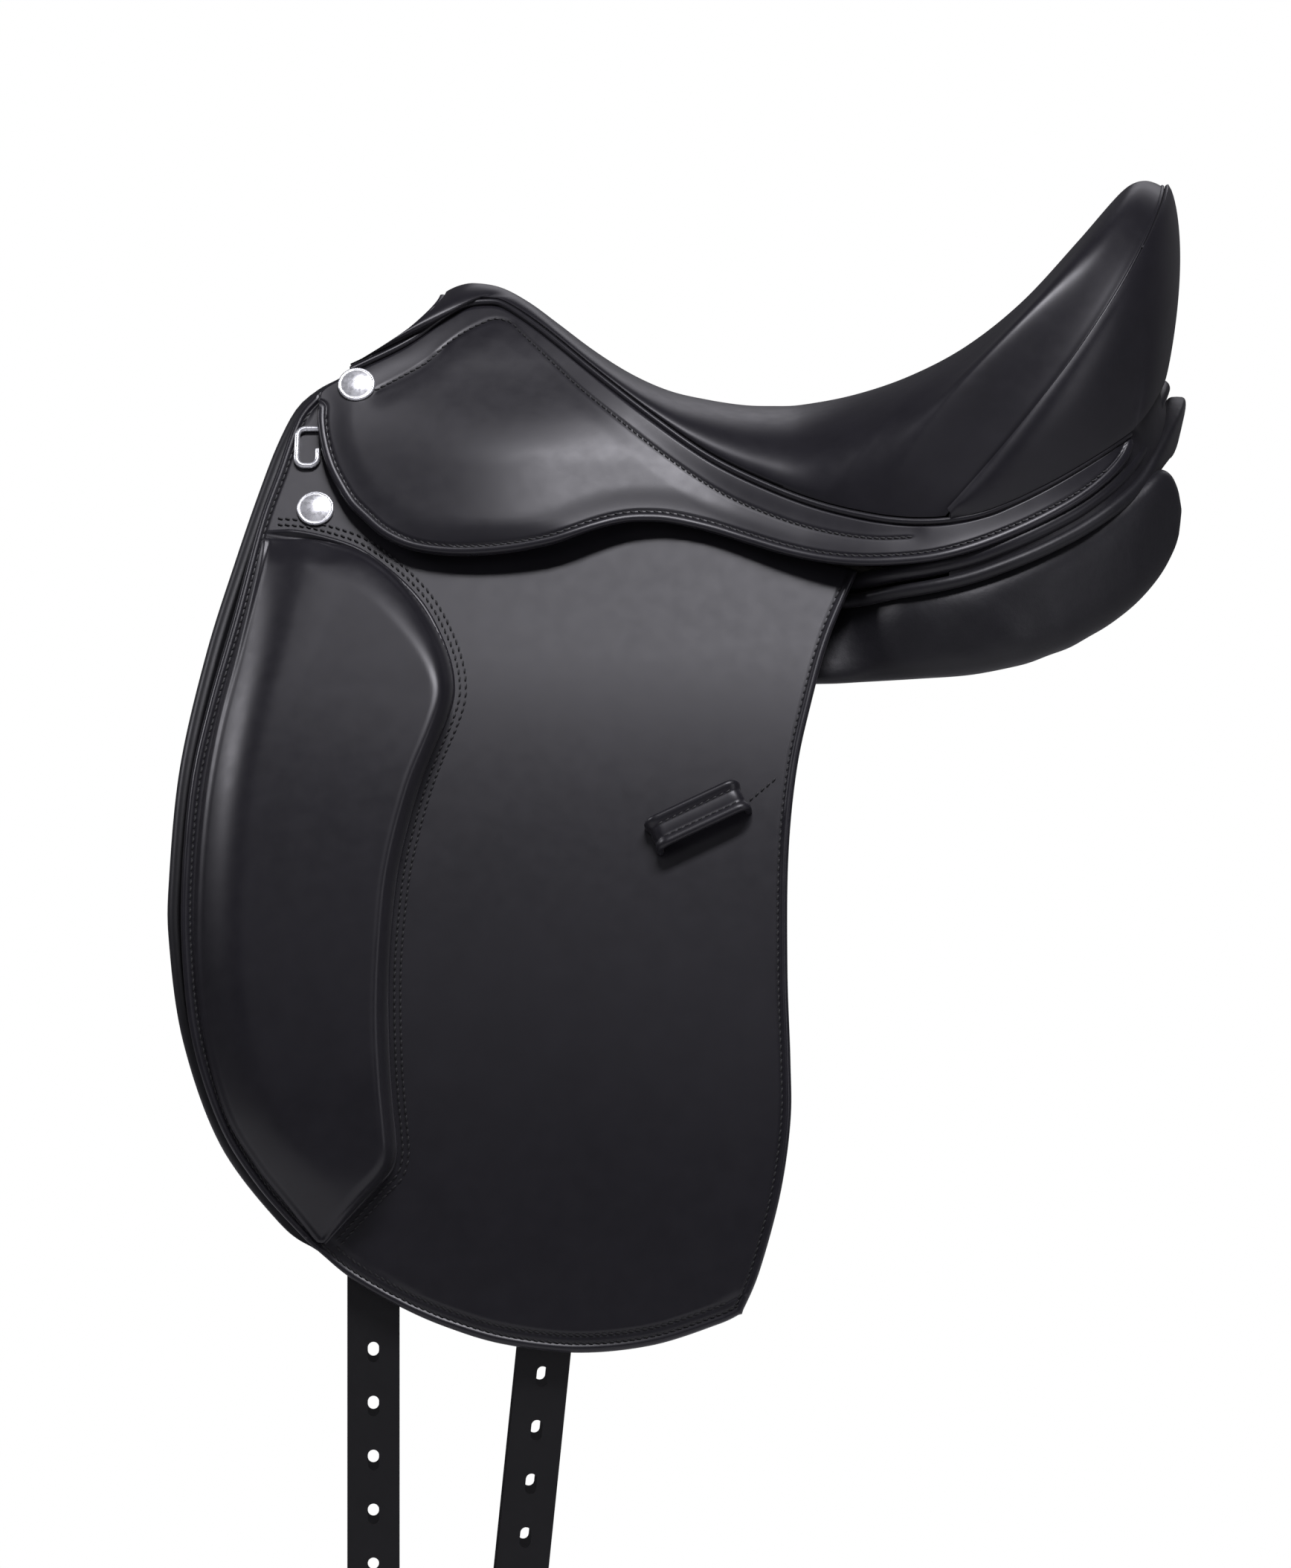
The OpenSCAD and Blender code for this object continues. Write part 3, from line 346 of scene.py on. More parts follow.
def make(name: str, form: Form, finish: Material, sharp: float = 40.0) -> Object:
    """Mesh object at the origin from a form, merged, faced outward and shaded smooth.

    Args:
        name: Name of the piece.
        form: Points in millimetres and faces.
        finish: Material.
        sharp: Angle in degrees past which an edge stays sharp.

    Returns:
        The object.
    """
    mesh = bpy.data.meshes.new(name)
    mesh.from_pydata((form.points * MM).tolist(), [], form.faces)
    wear = mesh.attributes.new("wear", "FLOAT", "POINT")
    wear.data.foreach_set("value", form.worn().astype(np.float32))
    work = bmesh.new()
    work.from_mesh(mesh)
    bmesh.ops.remove_doubles(work, verts=work.verts, dist=2e-6)
    bmesh.ops.dissolve_degenerate(work, edges=work.edges, dist=1e-7)
    bmesh.ops.recalc_face_normals(work, faces=work.faces)
    work.to_mesh(mesh)
    work.free()
    mesh.polygons.foreach_set("use_smooth", np.ones(len(mesh.polygons), bool))
    mesh.set_sharp_from_angle(angle=math.radians(sharp))
    mesh.materials.append(finish)
    piece = placed(name, mesh)
    LOG.info("%s: %d faces", name, len(mesh.polygons))
    return piece


class Nodes:
    """Short way to lay out a node tree."""

    def __init__(self, name: str) -> None:
        """Starts a material with its shader and object coordinates."""
        self.material = bpy.data.materials.new(name)
        self.material.use_nodes = True
        self.tree = self.material.node_tree
        self.shader = self.tree.nodes["Principled BSDF"]
        self.coords = self.add("ShaderNodeTexCoord").outputs["Object"]

    def add(self, kind: str, values: dict | None = None, **settings: object) -> bpy.types.Node:
        """New node with settings and socket values."""
        node = self.tree.nodes.new(kind)
        for key, value in settings.items():
            setattr(node, key, value)
        for key, value in (values or {}).items():
            node.inputs[key].default_value = value
        return node

    def link(self, source: Socket, target: Socket) -> None:
        """Joins two sockets."""
        self.tree.links.new(source, target)

    def put(self, name: str, value: float | Socket) -> None:
        """Sets a socket of the shader to a number or joins it to a source."""
        if isinstance(value, float):
            self.shader.inputs[name].default_value = value
        else:
            self.link(value, self.shader.inputs[name])

    def noise(self, scale: float, detail: float = 3.0, rough: float = 0.5) -> Socket:
        """Noise on object coordinates."""
        node = self.add("ShaderNodeTexNoise", {"Scale": scale, "Detail": detail, "Roughness": rough})
        self.link(self.coords, node.inputs["Vector"])
        return node.outputs["Fac"]

    def span(self, source: Socket, low: float, high: float, to_low: float,
             to_high: float) -> Socket:
        """Source stretched from one range onto another."""
        node = self.add("ShaderNodeMapRange", {"From Min": low, "From Max": high, "To Min": to_low,
                                               "To Max": to_high})
        self.link(source, node.inputs["Value"])
        return node.outputs["Result"]

    def blend(self, share: Socket, low: Sequence[float],
              high: Sequence[float]) -> Socket:
        """Colour between two by a share."""
        node = self.add("ShaderNodeMix", data_type="RGBA")
        node.inputs[6].default_value = (*low, 1)
        node.inputs[7].default_value = (*high, 1)
        self.link(share, node.inputs[0])
        return node.outputs[2]

    def sums(self, first: Socket, second: Socket,
             how: str = "ADD") -> Socket:
        """Two values joined by a sum or another operation."""
        node = self.add("ShaderNodeMath", operation=how)
        self.link(first, node.inputs[0])
        self.link(second, node.inputs[1])
        return node.outputs[0]

    def dent(self, height: Socket, strength: float, depth: float,
             under: Socket | None = None) -> Socket:
        """Bump from a height, over another bump if given."""
        node = self.add("ShaderNodeBump", {"Strength": strength, "Distance": depth})
        self.link(height, node.inputs["Height"])
        if under is not None:
            self.link(under, node.inputs["Normal"])
        return node.outputs["Normal"]


@dataclass(frozen=True)
class Leather:
    """Satin leather: fine pores, soft creases, uneven polish and rubbed edges."""

    name: str
    dark: Colour
    light: Colour
    rough: float
    pores: float = 1500.0
    pore_depth: float = 0.10
    crease: float = 0.12
    sheen: float = 0.06

    def material(self) -> Material:
        """Builds the node material."""
        n = Nodes(self.name)
        n.put("Sheen Weight", self.sheen)
        n.put("Sheen Roughness", 0.5)
        n.put("Specular IOR Level", 0.5)
        mottle = n.noise(42.0, 4.0, 0.6)
        wear = n.add("ShaderNodeAttribute", attribute_name="wear").outputs["Fac"]
        rubbed = n.sums(n.span(wear, 0.2, 1.0, 0.0, 0.8), n.noise(300.0), "MULTIPLY")
        share = n.sums(n.span(mottle, 0.3, 0.7, 0.0, 0.3), rubbed)
        n.put("Base Color", n.blend(share, self.dark, self.light))
        polish = n.span(n.noise(120.0, 3.0), 0.3, 0.7, self.rough - 0.02, self.rough + 0.025)
        n.put("Roughness", n.sums(polish, n.span(wear, 0.0, 1.0, 0.0, 0.08), "SUBTRACT"))
        cells = n.add("ShaderNodeTexVoronoi", {"Scale": self.pores}, feature="DISTANCE_TO_EDGE")
        n.link(n.coords, cells.inputs["Vector"])
        soft = n.dent(n.noise(75.0, 4.0, 0.55), self.crease, 0.0012)
        n.put("Normal", n.dent(cells.outputs["Distance"], self.pore_depth, 0.0002, soft))
        return n.material


@dataclass(frozen=True)
class Metal:
    """Worked metal with fine scratches and a cloudy polish."""

    name: str
    colour: Colour
    dull: Colour
    rough: float
    scratch: float = 0.05
    metallic: float = 1.0

    def material(self) -> Material:
        """Builds the node material."""
        n = Nodes(self.name)
        n.put("Metallic", self.metallic)
        cloud = n.noise(180.0, 4.0)
        n.put("Base Color", n.blend(n.span(cloud, 0.35, 0.75, 0.0, 1.0), self.colour, self.dull))
        n.put("Roughness", n.span(n.noise(500.0, 2.0), 0.3, 0.7, self.rough, self.rough * 1.6 + 0.02))
        n.put("Normal", n.dent(n.noise(1600.0, 2.0), self.scratch, 0.0001))
        return n.material


@dataclass(frozen=True)
class Woven:
    """Plain woven webbing with threads both ways."""

    name: str
    dark: Colour
    light: Colour
    threads: float = 700.0

    def material(self) -> Material:
        """Builds the node material."""
        n = Nodes(self.name)
        n.put("Roughness", 0.85)
        n.put("Sheen Weight", 0.2)
        ways = []
        for turn in (0.0, math.pi / 2):
            place = n.add("ShaderNodeMapping")
            place.inputs["Rotation"].default_value = (0.0, 0.0, turn)
            n.link(n.coords, place.inputs["Vector"])
            wave = n.add("ShaderNodeTexWave", {"Scale": self.threads, "Distortion": 1.2, "Detail": 1.0})
            n.link(place.outputs["Vector"], wave.inputs["Vector"])
            ways.append(wave.outputs["Fac"])
        weave = n.sums(ways[0], ways[1], "MULTIPLY")
        n.put("Base Color", n.blend(weave, self.dark, self.light))
        n.put("Normal", n.dent(weave, 0.5, 0.0004))
        return n.material


@dataclass(frozen=True)
class Ply:
    """Layered wood or fibre board with long grain."""

    name: str
    dark: Colour
    light: Colour

    def material(self) -> Material:
        """Builds the node material."""
        n = Nodes(self.name)
        n.put("Roughness", 0.6)
        place = n.add("ShaderNodeMapping")
        place.inputs["Scale"].default_value = (0.12, 1.0, 1.0)
        n.link(n.coords, place.inputs["Vector"])
        grain = n.add("ShaderNodeTexNoise", {"Scale": 420.0, "Detail": 5.0, "Distortion": 0.6})
        n.link(place.outputs["Vector"], grain.inputs["Vector"])
        share = n.span(grain.outputs["Fac"], 0.3, 0.7, 0.0, 1.0)
        n.put("Base Color", n.blend(share, self.dark, self.light))
        n.put("Normal", n.dent(grain.outputs["Fac"], 0.2, 0.0003))
        return n.material


@dataclass(frozen=True)
class Finishes:
    """All materials of the saddle."""

    seat: Material
    flap: Material
    block: Material
    panel: Material
    lining: Material
    strap: Material
    thread: Material
    bright: Material
    steel: Material
    forged: Material
    web: Material
    ply: Material
    board: Material

    @classmethod
    def build(cls) -> "Finishes":
        """Makes every material once."""
        black, grey = (0.0105, 0.0098, 0.0135), (0.021, 0.020, 0.026)
        return cls(
            seat=Leather("seat_leather_satin", black, grey, rough=0.37, pores=1300.0, pore_depth=0.05,
                         crease=0.025, sheen=0.05).material(),
            flap=Leather("flap_leather_satin", black, grey, rough=0.37, pores=1500.0, pore_depth=0.05,
                         crease=0.025, sheen=0.03).material(),
            block=Leather("block_leather_soft", black, grey, rough=0.37, pores=1300.0, pore_depth=0.05,
                          crease=0.02, sheen=0.03).material(),
            panel=Leather("panel_leather_soft", (0.006, 0.0057, 0.0085), (0.013, 0.0125, 0.017),
                          rough=0.46, pores=1100.0, pore_depth=0.14, crease=0.3).material(),
            lining=Leather("lining_leather", (0.008, 0.008, 0.01), (0.018, 0.018, 0.022),
                           rough=0.48).material(),
            strap=Leather("strap_leather", (0.0022, 0.002, 0.0032), (0.006, 0.0058, 0.0075),
                          rough=0.5, pores=1700.0, pore_depth=0.12, crease=0.1).material(),
            thread=Leather("waxed_thread", (0.012, 0.012, 0.014), (0.03, 0.03, 0.028),
                           rough=0.6, pores=3500.0, pore_depth=0.25, crease=0.0).material(),
            bright=Metal("bright_plate", (0.92, 0.93, 0.95), (0.84, 0.86, 0.89), rough=0.22,
                         scratch=0.02, metallic=0.7).material(),
            steel=Metal("plain_steel", (0.42, 0.44, 0.47), (0.26, 0.27, 0.3), rough=0.35).material(),
            forged=Metal("forged_steel", (0.55, 0.57, 0.6), (0.38, 0.4, 0.43), rough=0.25,
                         scratch=0.12).material(),
            web=Woven("girth_web", (0.33, 0.3, 0.24), (0.62, 0.58, 0.48)).material(),
            ply=Ply("tree_ply", (0.02, 0.014, 0.009), (0.045, 0.032, 0.022)).material(),
            board=Ply("cantle_fibre", (0.018, 0.014, 0.01), (0.028, 0.028, 0.02)).material(),
        )


@dataclass(frozen=True)
class SideWall:
    """Side wall on which the flaps, skirts and straps lie in layers.

    It falls at a slope to a knee and then curves down to the vertical, and is turned a little about
    the vertical so that the saddle is wider behind.
    """

    side: Side
    slope: float = math.radians(26.0)
    radius: float = 850.0
    half: float = 225.0
    yaw: float = math.radians(5.0)
    drop: float = 424.0

    def half_width(self, x: Array, z: Array, o: Array | float) -> Array:
        """Half width at a place seen from the side, o outward from the flap's outer face."""
        c = self.half * math.cos(self.yaw) - self.radius
        r, d = self.radius + np.asarray(o, float), np.asarray(z, float) + self.drop
        bend = c + np.sqrt(np.maximum(r * r - np.maximum(d, 0) ** 2, 0))
        flat = c + r * math.cos(self.slope) - (d - r * math.sin(self.slope)) * math.tan(self.slope)
        n = np.where(d < r * math.sin(self.slope), bend, flat)
        return (n + np.asarray(x, float) * math.sin(self.yaw)) / math.cos(self.yaw)

    def place(self, xz: Array, o: Array | float) -> Array:
        """Points at places seen from the side, o outward from the flap's outer face."""
        x, z = xz[..., 0], xz[..., 1]
        return np.stack([x, self.side.sign * self.half_width(x, z, o), z], -1)

    def outward(self, xz: Array) -> Array:
        """Outward direction at places seen from the side."""
        d = np.clip((xz[..., 1] + self.drop) / self.radius, 0, math.sin(self.slope))
        c = np.sqrt(1 - d * d)
        return np.stack([-math.sin(self.yaw) * c, self.side.sign * math.cos(self.yaw) * c, d], -1)

    def fold(self, a: Sequence[float], b: Sequence[float], up: float, down: float,
             o: float = 0.0) -> tuple[Array, Array]:
        """Start and end points, in metres, of a bend across the line a to b in the upper wall.

        Args:
            a: Front end of the line seen from the side.
            b: Rear end of the line.
            up: Distance above the line at which the bend starts.
            down: Distance below the line at which it ends.
            o: Offset of the layer that bends.

        Returns:
            The two points, on a line square to the hinge.
        """
        p, q = self.place(np.array(a, float), o), self.place(np.array(b, float), o)
        n = self.outward(np.array(a, float))
        way = unit(np.cross(unit(q - p), n))
        way = way if way[2] < 0 else -way
        mid = 0.5 * (p + q)
        return (mid - way * up) * MM, (mid + way * down) * MM


# Welt and seat seen from the side, x and z in millimetres, as in the part's source
WELT_LINE = [(-215, 99), (-204, 104), (-180, 116), (-160, 130), (-150, 135.4), (-140, 137.2), (-130, 136),
             (-110, 123), (-80, 98.5), (-50, 75), (-20, 54), (10, 39), (40, 27.7), (70, 20.8), (90, 18.8),
             (110, 19.7), (130, 24), (160, 37.5), (190, 55), (208, 67.5), (232, 86)]
SEAT_TOP = [(-168, 136.3), (-160, 142.9), (-152, 146.5), (-144, 147.5), (-130, 145), (-115, 137),
            (-100, 126), (-80, 111), (-60, 98.5), (-40, 89.7), (-20, 85), (0, 82), (15, 81.5), (30, 82),
            (60, 87.7), (90, 98), (120, 114), (150, 138), (180, 170.5), (200, 193.5), (208, 200.4),
            (216, 202.5), (225, 200)]
# Widening of seat and skirts at the hips, by x, as in the part's source
HIP_LINE = [(-240, 0), (-30, 0), (30, 4.9), (80, 12), (120, 14), (160, 5), (190, -8), (208, -20),
            (232, -40)]
# Edges and sewn rows seen from the side, x and z, as in the part's source
SKIRT_EDGE = [(-228.3, 80), (-228.5, 74), (-227.7, 66), (-225.8, 57), (-222.8, 48), (-218, 38.5),
              (-212, 29), (-204, 21), (-195, 13), (-184, 7), (-173, 3.8), (-158, 2), (-143, 2),
              (-127, 3.4), (-112, 6), (-100, 9), (-80, 16), (-66, 19.4), (-54, 20.3), (-40, 19.4),
              (-20, 15), (0, 8.8), (20, 2.8), (40, -1.5), (60, -3.4), (80, -3), (100, -1), (120, 3.8),
              (140, 11), (160, 20), (180, 31), (195, 42.5), (204, 52.5), (207.5, 60)]
SKIRT_STITCH = [(-197, 90), (-180, 99), (-170, 105), (-160, 114), (-150, 121), (-140, 126), (-133, 128),
                (-125, 126), (-120, 121), (-110, 111.5), (-90, 92.5), (-70, 76), (-50, 60), (-30, 45.4),
                (-10, 33), (10, 24), (30, 17), (50, 12.3), (70, 10), (88, 10.5)]
FLAP_FRONT = [(-230.5, 86), (-240, 74), (-250, 46), (-260, 18), (-273, -31), (-286.7, -79), (-296, -121),
              (-300.3, -169), (-300.3, -212), (-294.7, -260), (-280, -305), (-260, -337), (-236, -364),
              (-228.5, -371)]
FLAP_LOW = [(-228.5, -371), (-212, -384.5), (-185, -400), (-160, -410.7), (-130, -419.5), (-90, -424),
            (-50, -420), (-15, -409), (-3, -403.5)]
FLAP_REAR = [(-3, -403.5), (6, -382), (17, -341), (22.5, -302), (22.5, -269), (21, -222), (21.5, -162),
             (26, -115), (34, -78), (44, -43), (59, -8)]
FLAP_TOP = [(59, -8), (20, 3), (-20, 20), (-60, 50), (-100, 82), (-140, 92), (-185, 92), (-216, 94),
            (-230.5, 86)]
SWEAT_FRONT = [(-218, 95), (-229, 89), (-240, 79), (-250, 60), (-260, 34), (-272, -1), (-288, -52),
               (-302, -113), (-307.7, -172), (-307.7, -207), (-300, -260), (-280, -315), (-248, -357),
               (-230, -370)]
SWEAT_LOW = [(-230, -370), (-190, -386), (-140, -402), (-90, -410), (-40, -402), (-14, -388)]
SWEAT_REAR = [(-14, -388), (4, -340), (10, -280), (9, -200), (13, -130), (24, -70), (36, -24)]
SWEAT_TOP = [(36, -24), (10, -6), (-60, 4), (-130, 6), (-172, 30), (-200, 70), (-218, 95)]
# Thigh block by z: x of its two edges, and share of its full height, which rises softer than the solid's
BLOCK_FRONT = [(-366, -229), (-350, -242), (-325, -262), (-300, -277), (-265, -287.5), (-225, -293.5),
               (-180, -294), (-130, -290), (-90, -283), (-50, -272.5), (-10, -262.5), (9.5, -258)]
BLOCK_BACK = [(-366, -224.5), (-345, -205), (-330, -191.5), (-319, -187.5), (-308, -187.7), (-280, -190),
              (-244, -191.5), (-205, -190), (-167, -186), (-124, -175), (-95, -163.5), (-75, -156.8),
              (-57, -158), (-36, -167), (-12, -185), (2, -203), (7, -217), (9.5, -231)]
BLOCK_CROWN = [(-366, 0.0), (-352, 0.42), (-330, 0.8), (-300, 0.95), (-262, 1), (-130, 1), (-75, 0.9),
               (-30, 0.62), (9.5, 0.2)]
BLOCK_LOW, BLOCK_TOP = -366.0, 9.5
# Seam behind the block, x and z from the top down
BLOCK_SEAM = [(-256, 14), (-240, 13.3), (-224, 10), (-208, 4.5), (-195, -4), (-181, -16), (-171, -28),
              (-163, -43), (-158, -57), (-156.3, -68), (-157, -77), (-161, -89), (-168, -105),
              (-175, -124), (-181, -145), (-186, -167), (-189, -191), (-191, -217), (-191.3, -244),
              (-190.5, -271), (-189, -292), (-187.5, -308), (-187, -319), (-189.5, -328), (-197, -336),
              (-206, -346), (-216, -357), (-225, -367)]
# Middle lines of the rolls round the rear, x, y and z of one side, the upper one raised at the rear
ROLL_LINE = [(50, 104, -14.4), (62, 115, -12.8), (80, 131, -9.2), (100, 138, -5.8), (120, 138.6, -1.2),
             (140, 134.4, 6.2), (160, 126, 15.2), (180, 113.4, 26.3), (197, 98, 39.6), (209, 79, 54),
             (217, 54, 72), (222.5, 26, 86), (224.5, 0, 91)]
BAND_LINE = [(50, 114, -24), (62, 119.5, -22.9), (80, 133.4, -19.2), (100, 140.5, -15.8),
             (120, 141.5, -11.2), (140, 138, -4.2), (160, 130, 4.2), (180, 118, 14.5),
             (198, 103.5, 26.5), (212, 84, 38.5), (222.5, 58, 53.5), (229.5, 28, 65.5), (231.5, 0, 69.5)]
# Seam of the gusset's plain panel, x and z
PANEL_SEAM = [(210, 166.5), (214.5, 167), (218.5, 164), (221.5, 157), (223.5, 149), (226, 141),
              (229, 135.5)]
# Half height of the panel band over its half thickness, by place on its line
BAND_TALL = [(0, 1), (7, 1), (9, 1.25), (10, 2), (11, 3.4), (12, 4.6)]
# Arch of the tree's head seen from the front, y and z
HEAD_LINE = [(0, 123), (14, 119), (25, 106), (35, 86), (42, 68), (48, 50), (53, 34)]
# Panel by x, fuller at the rear than the solid: half width, then heights of its four corners
# (T top, B bottom, I inner, O outer)
PANEL_SIDE = [(40, 122), (60, 128), (90, 141), (112, 145), (132, 143), (160, 133), (190, 115),
              (202, 106.5), (212, 98), (222, 87.5), (229, 79), (233, 73.5), (234.4, 70)]
PANEL_TI = [(-202, 24), (-170, 27), (-148, 28), (-130, 34), (-100, 42), (-60, 45), (0, 32), (50, 15),
            (95, 15.2), (150, 26.8), (190, 37.4), (202, 43), (215, 48), (226, 47), (232, 38),
            (234.4, 26)]
PANEL_TO = [(-202, 8), (-130, 6), (-60, 0), (0, -14), (48, -24), (64, -20), (80, -15.5), (100, -11.5),
            (120, -7), (140, 0), (160, 8), (180, 18), (198, 29.5), (212, 39), (222, 46), (229, 44),
            (233, 35), (234.4, 26)]
PANEL_BI = [(-202, -24), (-120, -22), (0, -24), (100, -28), (170, -20), (202, -8), (222, 4), (234.4, 24)]
PANEL_BO = [(-202, -62), (-120, -74), (0, -77), (60, -76), (95, -74.5), (130, -71), (165, -60.5),
            (190, -48), (202, -39.5), (212, -30), (222, -17), (229, -4), (233, 9), (234.4, 24)]
# Sections: block seam band (across, out), keeper strap (across, out), nail head (radius, height)
SEAM_SECTION = [(-1.0, 0.0), (-0.9, 1.2), (0.0, 2.1), (1.2, 2.2), (2.1, 1.5), (2.6, 0.75), (3.6, 0.35),
                (4.6, 0.7), (5.8, 0.75), (6.8, 0.3), (7.8, 0.7), (9.4, 0.7), (10.2, 0.35), (10.6, -0.3),
                (4.0, -0.6), (-0.8, -0.6)]
KEEPER_SECTION = [(9.5, 0.0), (9.4, 1.5), (8.6, 2.3), (7.2, 2.6), (5.8, 2.1), (4.6, 1.5), (3.8, 1.0),
                  (2.4, 1.25), (0, 1.35), (-2.4, 1.25), (-3.8, 1.0), (-4.6, 1.5), (-6.0, 2.2),
                  (-7.4, 2.5), (-8.7, 2.2), (-9.4, 1.3), (-9.5, 0.0), (-8.8, -1.2), (8.8, -1.2)]
NAIL_PROFILE = [(0.0, 3.0), (2.0, 2.95), (4.0, 2.75), (6.0, 2.4), (7.6, 1.95), (8.4, 1.7), (8.7, 1.75),
                (9.1, 1.9), (9.6, 1.75), (10.0, 1.2), (10.0, 0.5), (9.7, 0.1), (6.0, 0.0), (1.5, 0.0),
                (1.5, -5.0), (0.0, -5.0)]
# Ends of the two hinge lines seen from the side
HINGE = ((-262.0, 18.0), (58.0, -45.0))
LOBE_HINGE = ((-228.5, 76.0), (-44.0, 20.6))
# Gap from welt to seat, and layers by their offset from the flap's outer face
WELT_GAP = 2.6
SKIRT_O, SKIRT_BACK_O = 8.0, 4.0
SWEAT_FACE_O, SWEAT_BACK_O = -14.2, -17.0
PANEL_O, FACING_O = -17.6, -17.8
# Cantle seam on the middle line, and where the gusset's lower edge turns from the rear to the side
CANTLE_X = 225.0
TURN_X, TURN_A = 207.0, 40.0
# Stirrup bar: its middle seen from the side, its tilt in degrees, and the flap's window round it
BAR_SPOT, BAR_TILT = (-122.0, 27.0), -6.0
WINDOW = [(-31.5, -8.5), (34.0, -8.5), (34.0, 11.5), (-31.5, 11.5)]
# Keeper: its middle seen from the side and its tilt in degrees
KEEPER_SPOT, KEEPER_TILT = (-25.2, -140.8), 26.6
# Nail heads: middle seen from the side, offset from the flap's face and upward tilt in degrees
NAILS = {"skirt_nails": ((-207.4, 88.6), SKIRT_O - 1.29 + 0.5, 3.0),
         "flap_nails": ((-230.0, 25.5), 0.0, 0.0)}


@dataclass(frozen=True)
class SeatForm:
    """Shared shape of the seat, its welts and the skirts' upper edge."""

    wall: SideWall
    lean_front: float = 51.0
    lean_rear: float = 118.0
    shelf: float = 9.0

    def side_s(self, x: Array, z: Array, o: Array | float) -> Array:
        """Half width of seat and skirt: the wall, widened at the hips and drawn in over the pommel."""
        tuck = 18.0 * (np.maximum(0, np.asarray(z, float) - 70) / 66) ** 2
        return self.wall.half_width(x, z, o) + rise(HIP_LINE, x) - tuck

    def side_p(self, xz: Array, o: Array | float) -> Array:
        """Points of the seat's or skirt's side at places seen from the side."""
        x, z = xz[..., 0], xz[..., 1]
        return np.stack([x, self.wall.side.sign * self.side_s(x, z, o), z], -1)

    def welt_s(self, x: Array) -> Array:
        """Half width at the welt."""
        return self.side_s(x, rise(WELT_LINE, x), SKIRT_O)

    def base_x(self, cx: Array) -> Array:
        """Where a rib that starts at cx on the middle line meets the welt."""
        return cx - self.lean_front * ease((-100 - cx) / 60.0) - self.lean_rear * ease(cx / CANTLE_X)

    def seat_p(self, cx: Array, a: Array) -> Array:
        """Seat surface: a rounded rib from the middle line at angle 0 to the welt at 90 degrees.

        The rib leans by its base; its width goes by the sine and its height by the cosine of the
        angle, a little squarer towards the cantle.

        Args:
            cx: Place of the rib on the middle line.
            a: Angle along the rib in degrees, signed by side.

        Returns:
            Points of the surface.
        """
        cx, a = np.broadcast_arrays(np.asarray(cx, float), np.radians(a))
        bx = self.base_x(cx)
        bz = rise(WELT_LINE, bx) + WELT_GAP
        square = 1 - 0.38 * ease((cx - 20) / 80.0) * (1 - ease((cx - 180) / 45.0))
        s, c = np.sin(a), np.maximum(np.cos(a), 0)
        wide = np.sign(s) * np.abs(s) ** square
        x = cx + (bx - cx) * (1 - c) ** 1.35
        return np.stack([x, self.welt_s(bx) * wide, bz + (rise(SEAT_TOP, cx) - bz) * c**square], -1)

    def seat_base(self, x: Array, y: Array) -> Array:
        """Underside of the seat, arched between the welts."""
        z = rise(WELT_LINE, x)
        h = rise(SEAT_TOP, np.minimum(x, 216)) - z
        return z - 1 + 0.3 * h * np.maximum(0, 1 - (y / self.welt_s(x)) ** 2)

    def gusset_low(self, a: Array) -> Array:
        """Lower edge of the cantle gusset by angle round the rear."""
        q, g = np.abs(a), np.sign(a)
        k = np.minimum(q / TURN_A, 1)
        end = rise(WELT_LINE, TURN_X) + WELT_GAP
        rear = np.stack([TURN_X + 16.5 * (1 - k * k), g * self.welt_s(TURN_X) * np.sin(np.pi / 2 * k),
                         end + 25 * np.cos(np.pi / 2 * k)], -1)
        x = TURN_X - 100 * np.maximum(q - TURN_A, 0) / 50
        side = np.stack([x, g * self.welt_s(x), rise(WELT_LINE, x) + WELT_GAP], -1)
        return np.where((q < TURN_A)[..., None], rear, side)

    def gusset_p(self, a: Array, v: Array) -> Array:
        """Cantle gusset: from the seat seam to its lower edge, bulged by a half sine that peaks early."""
        a, v = np.broadcast_arrays(np.asarray(a, float), np.asarray(v, float))
        s, e = self.seat_p(np.full_like(a, CANTLE_X), a), self.gusset_low(a)
        t = (0.6 / np.linalg.norm(e - s, axis=-1) * (1 - v) + v)[..., None]
        r = np.radians(a)[..., None]
        way = np.concatenate([np.cos(r), np.sin(r), 0 * r], -1)
        swell = np.maximum(np.sin(np.pi * t ** 0.75), 0) ** 0.75
        return lerp(s, e, t) + (6.0 * np.cos(r) + 1.6) * swell * way

    def skirt_lift(self, xz: Array) -> Array:
        """Height of the skirt's inner face over the flap: a soft shelf over the stirrup bar."""
        x, z = xz[..., 0], xz[..., 1]
        swell = np.clip(1 - ((x - BAR_SPOT[0]) / 130) ** 2, 0, 1) ** 3
        return SKIRT_BACK_O + self.shelf * swell * ease((z + 14) / 32) * ease((104 - z) / 54)


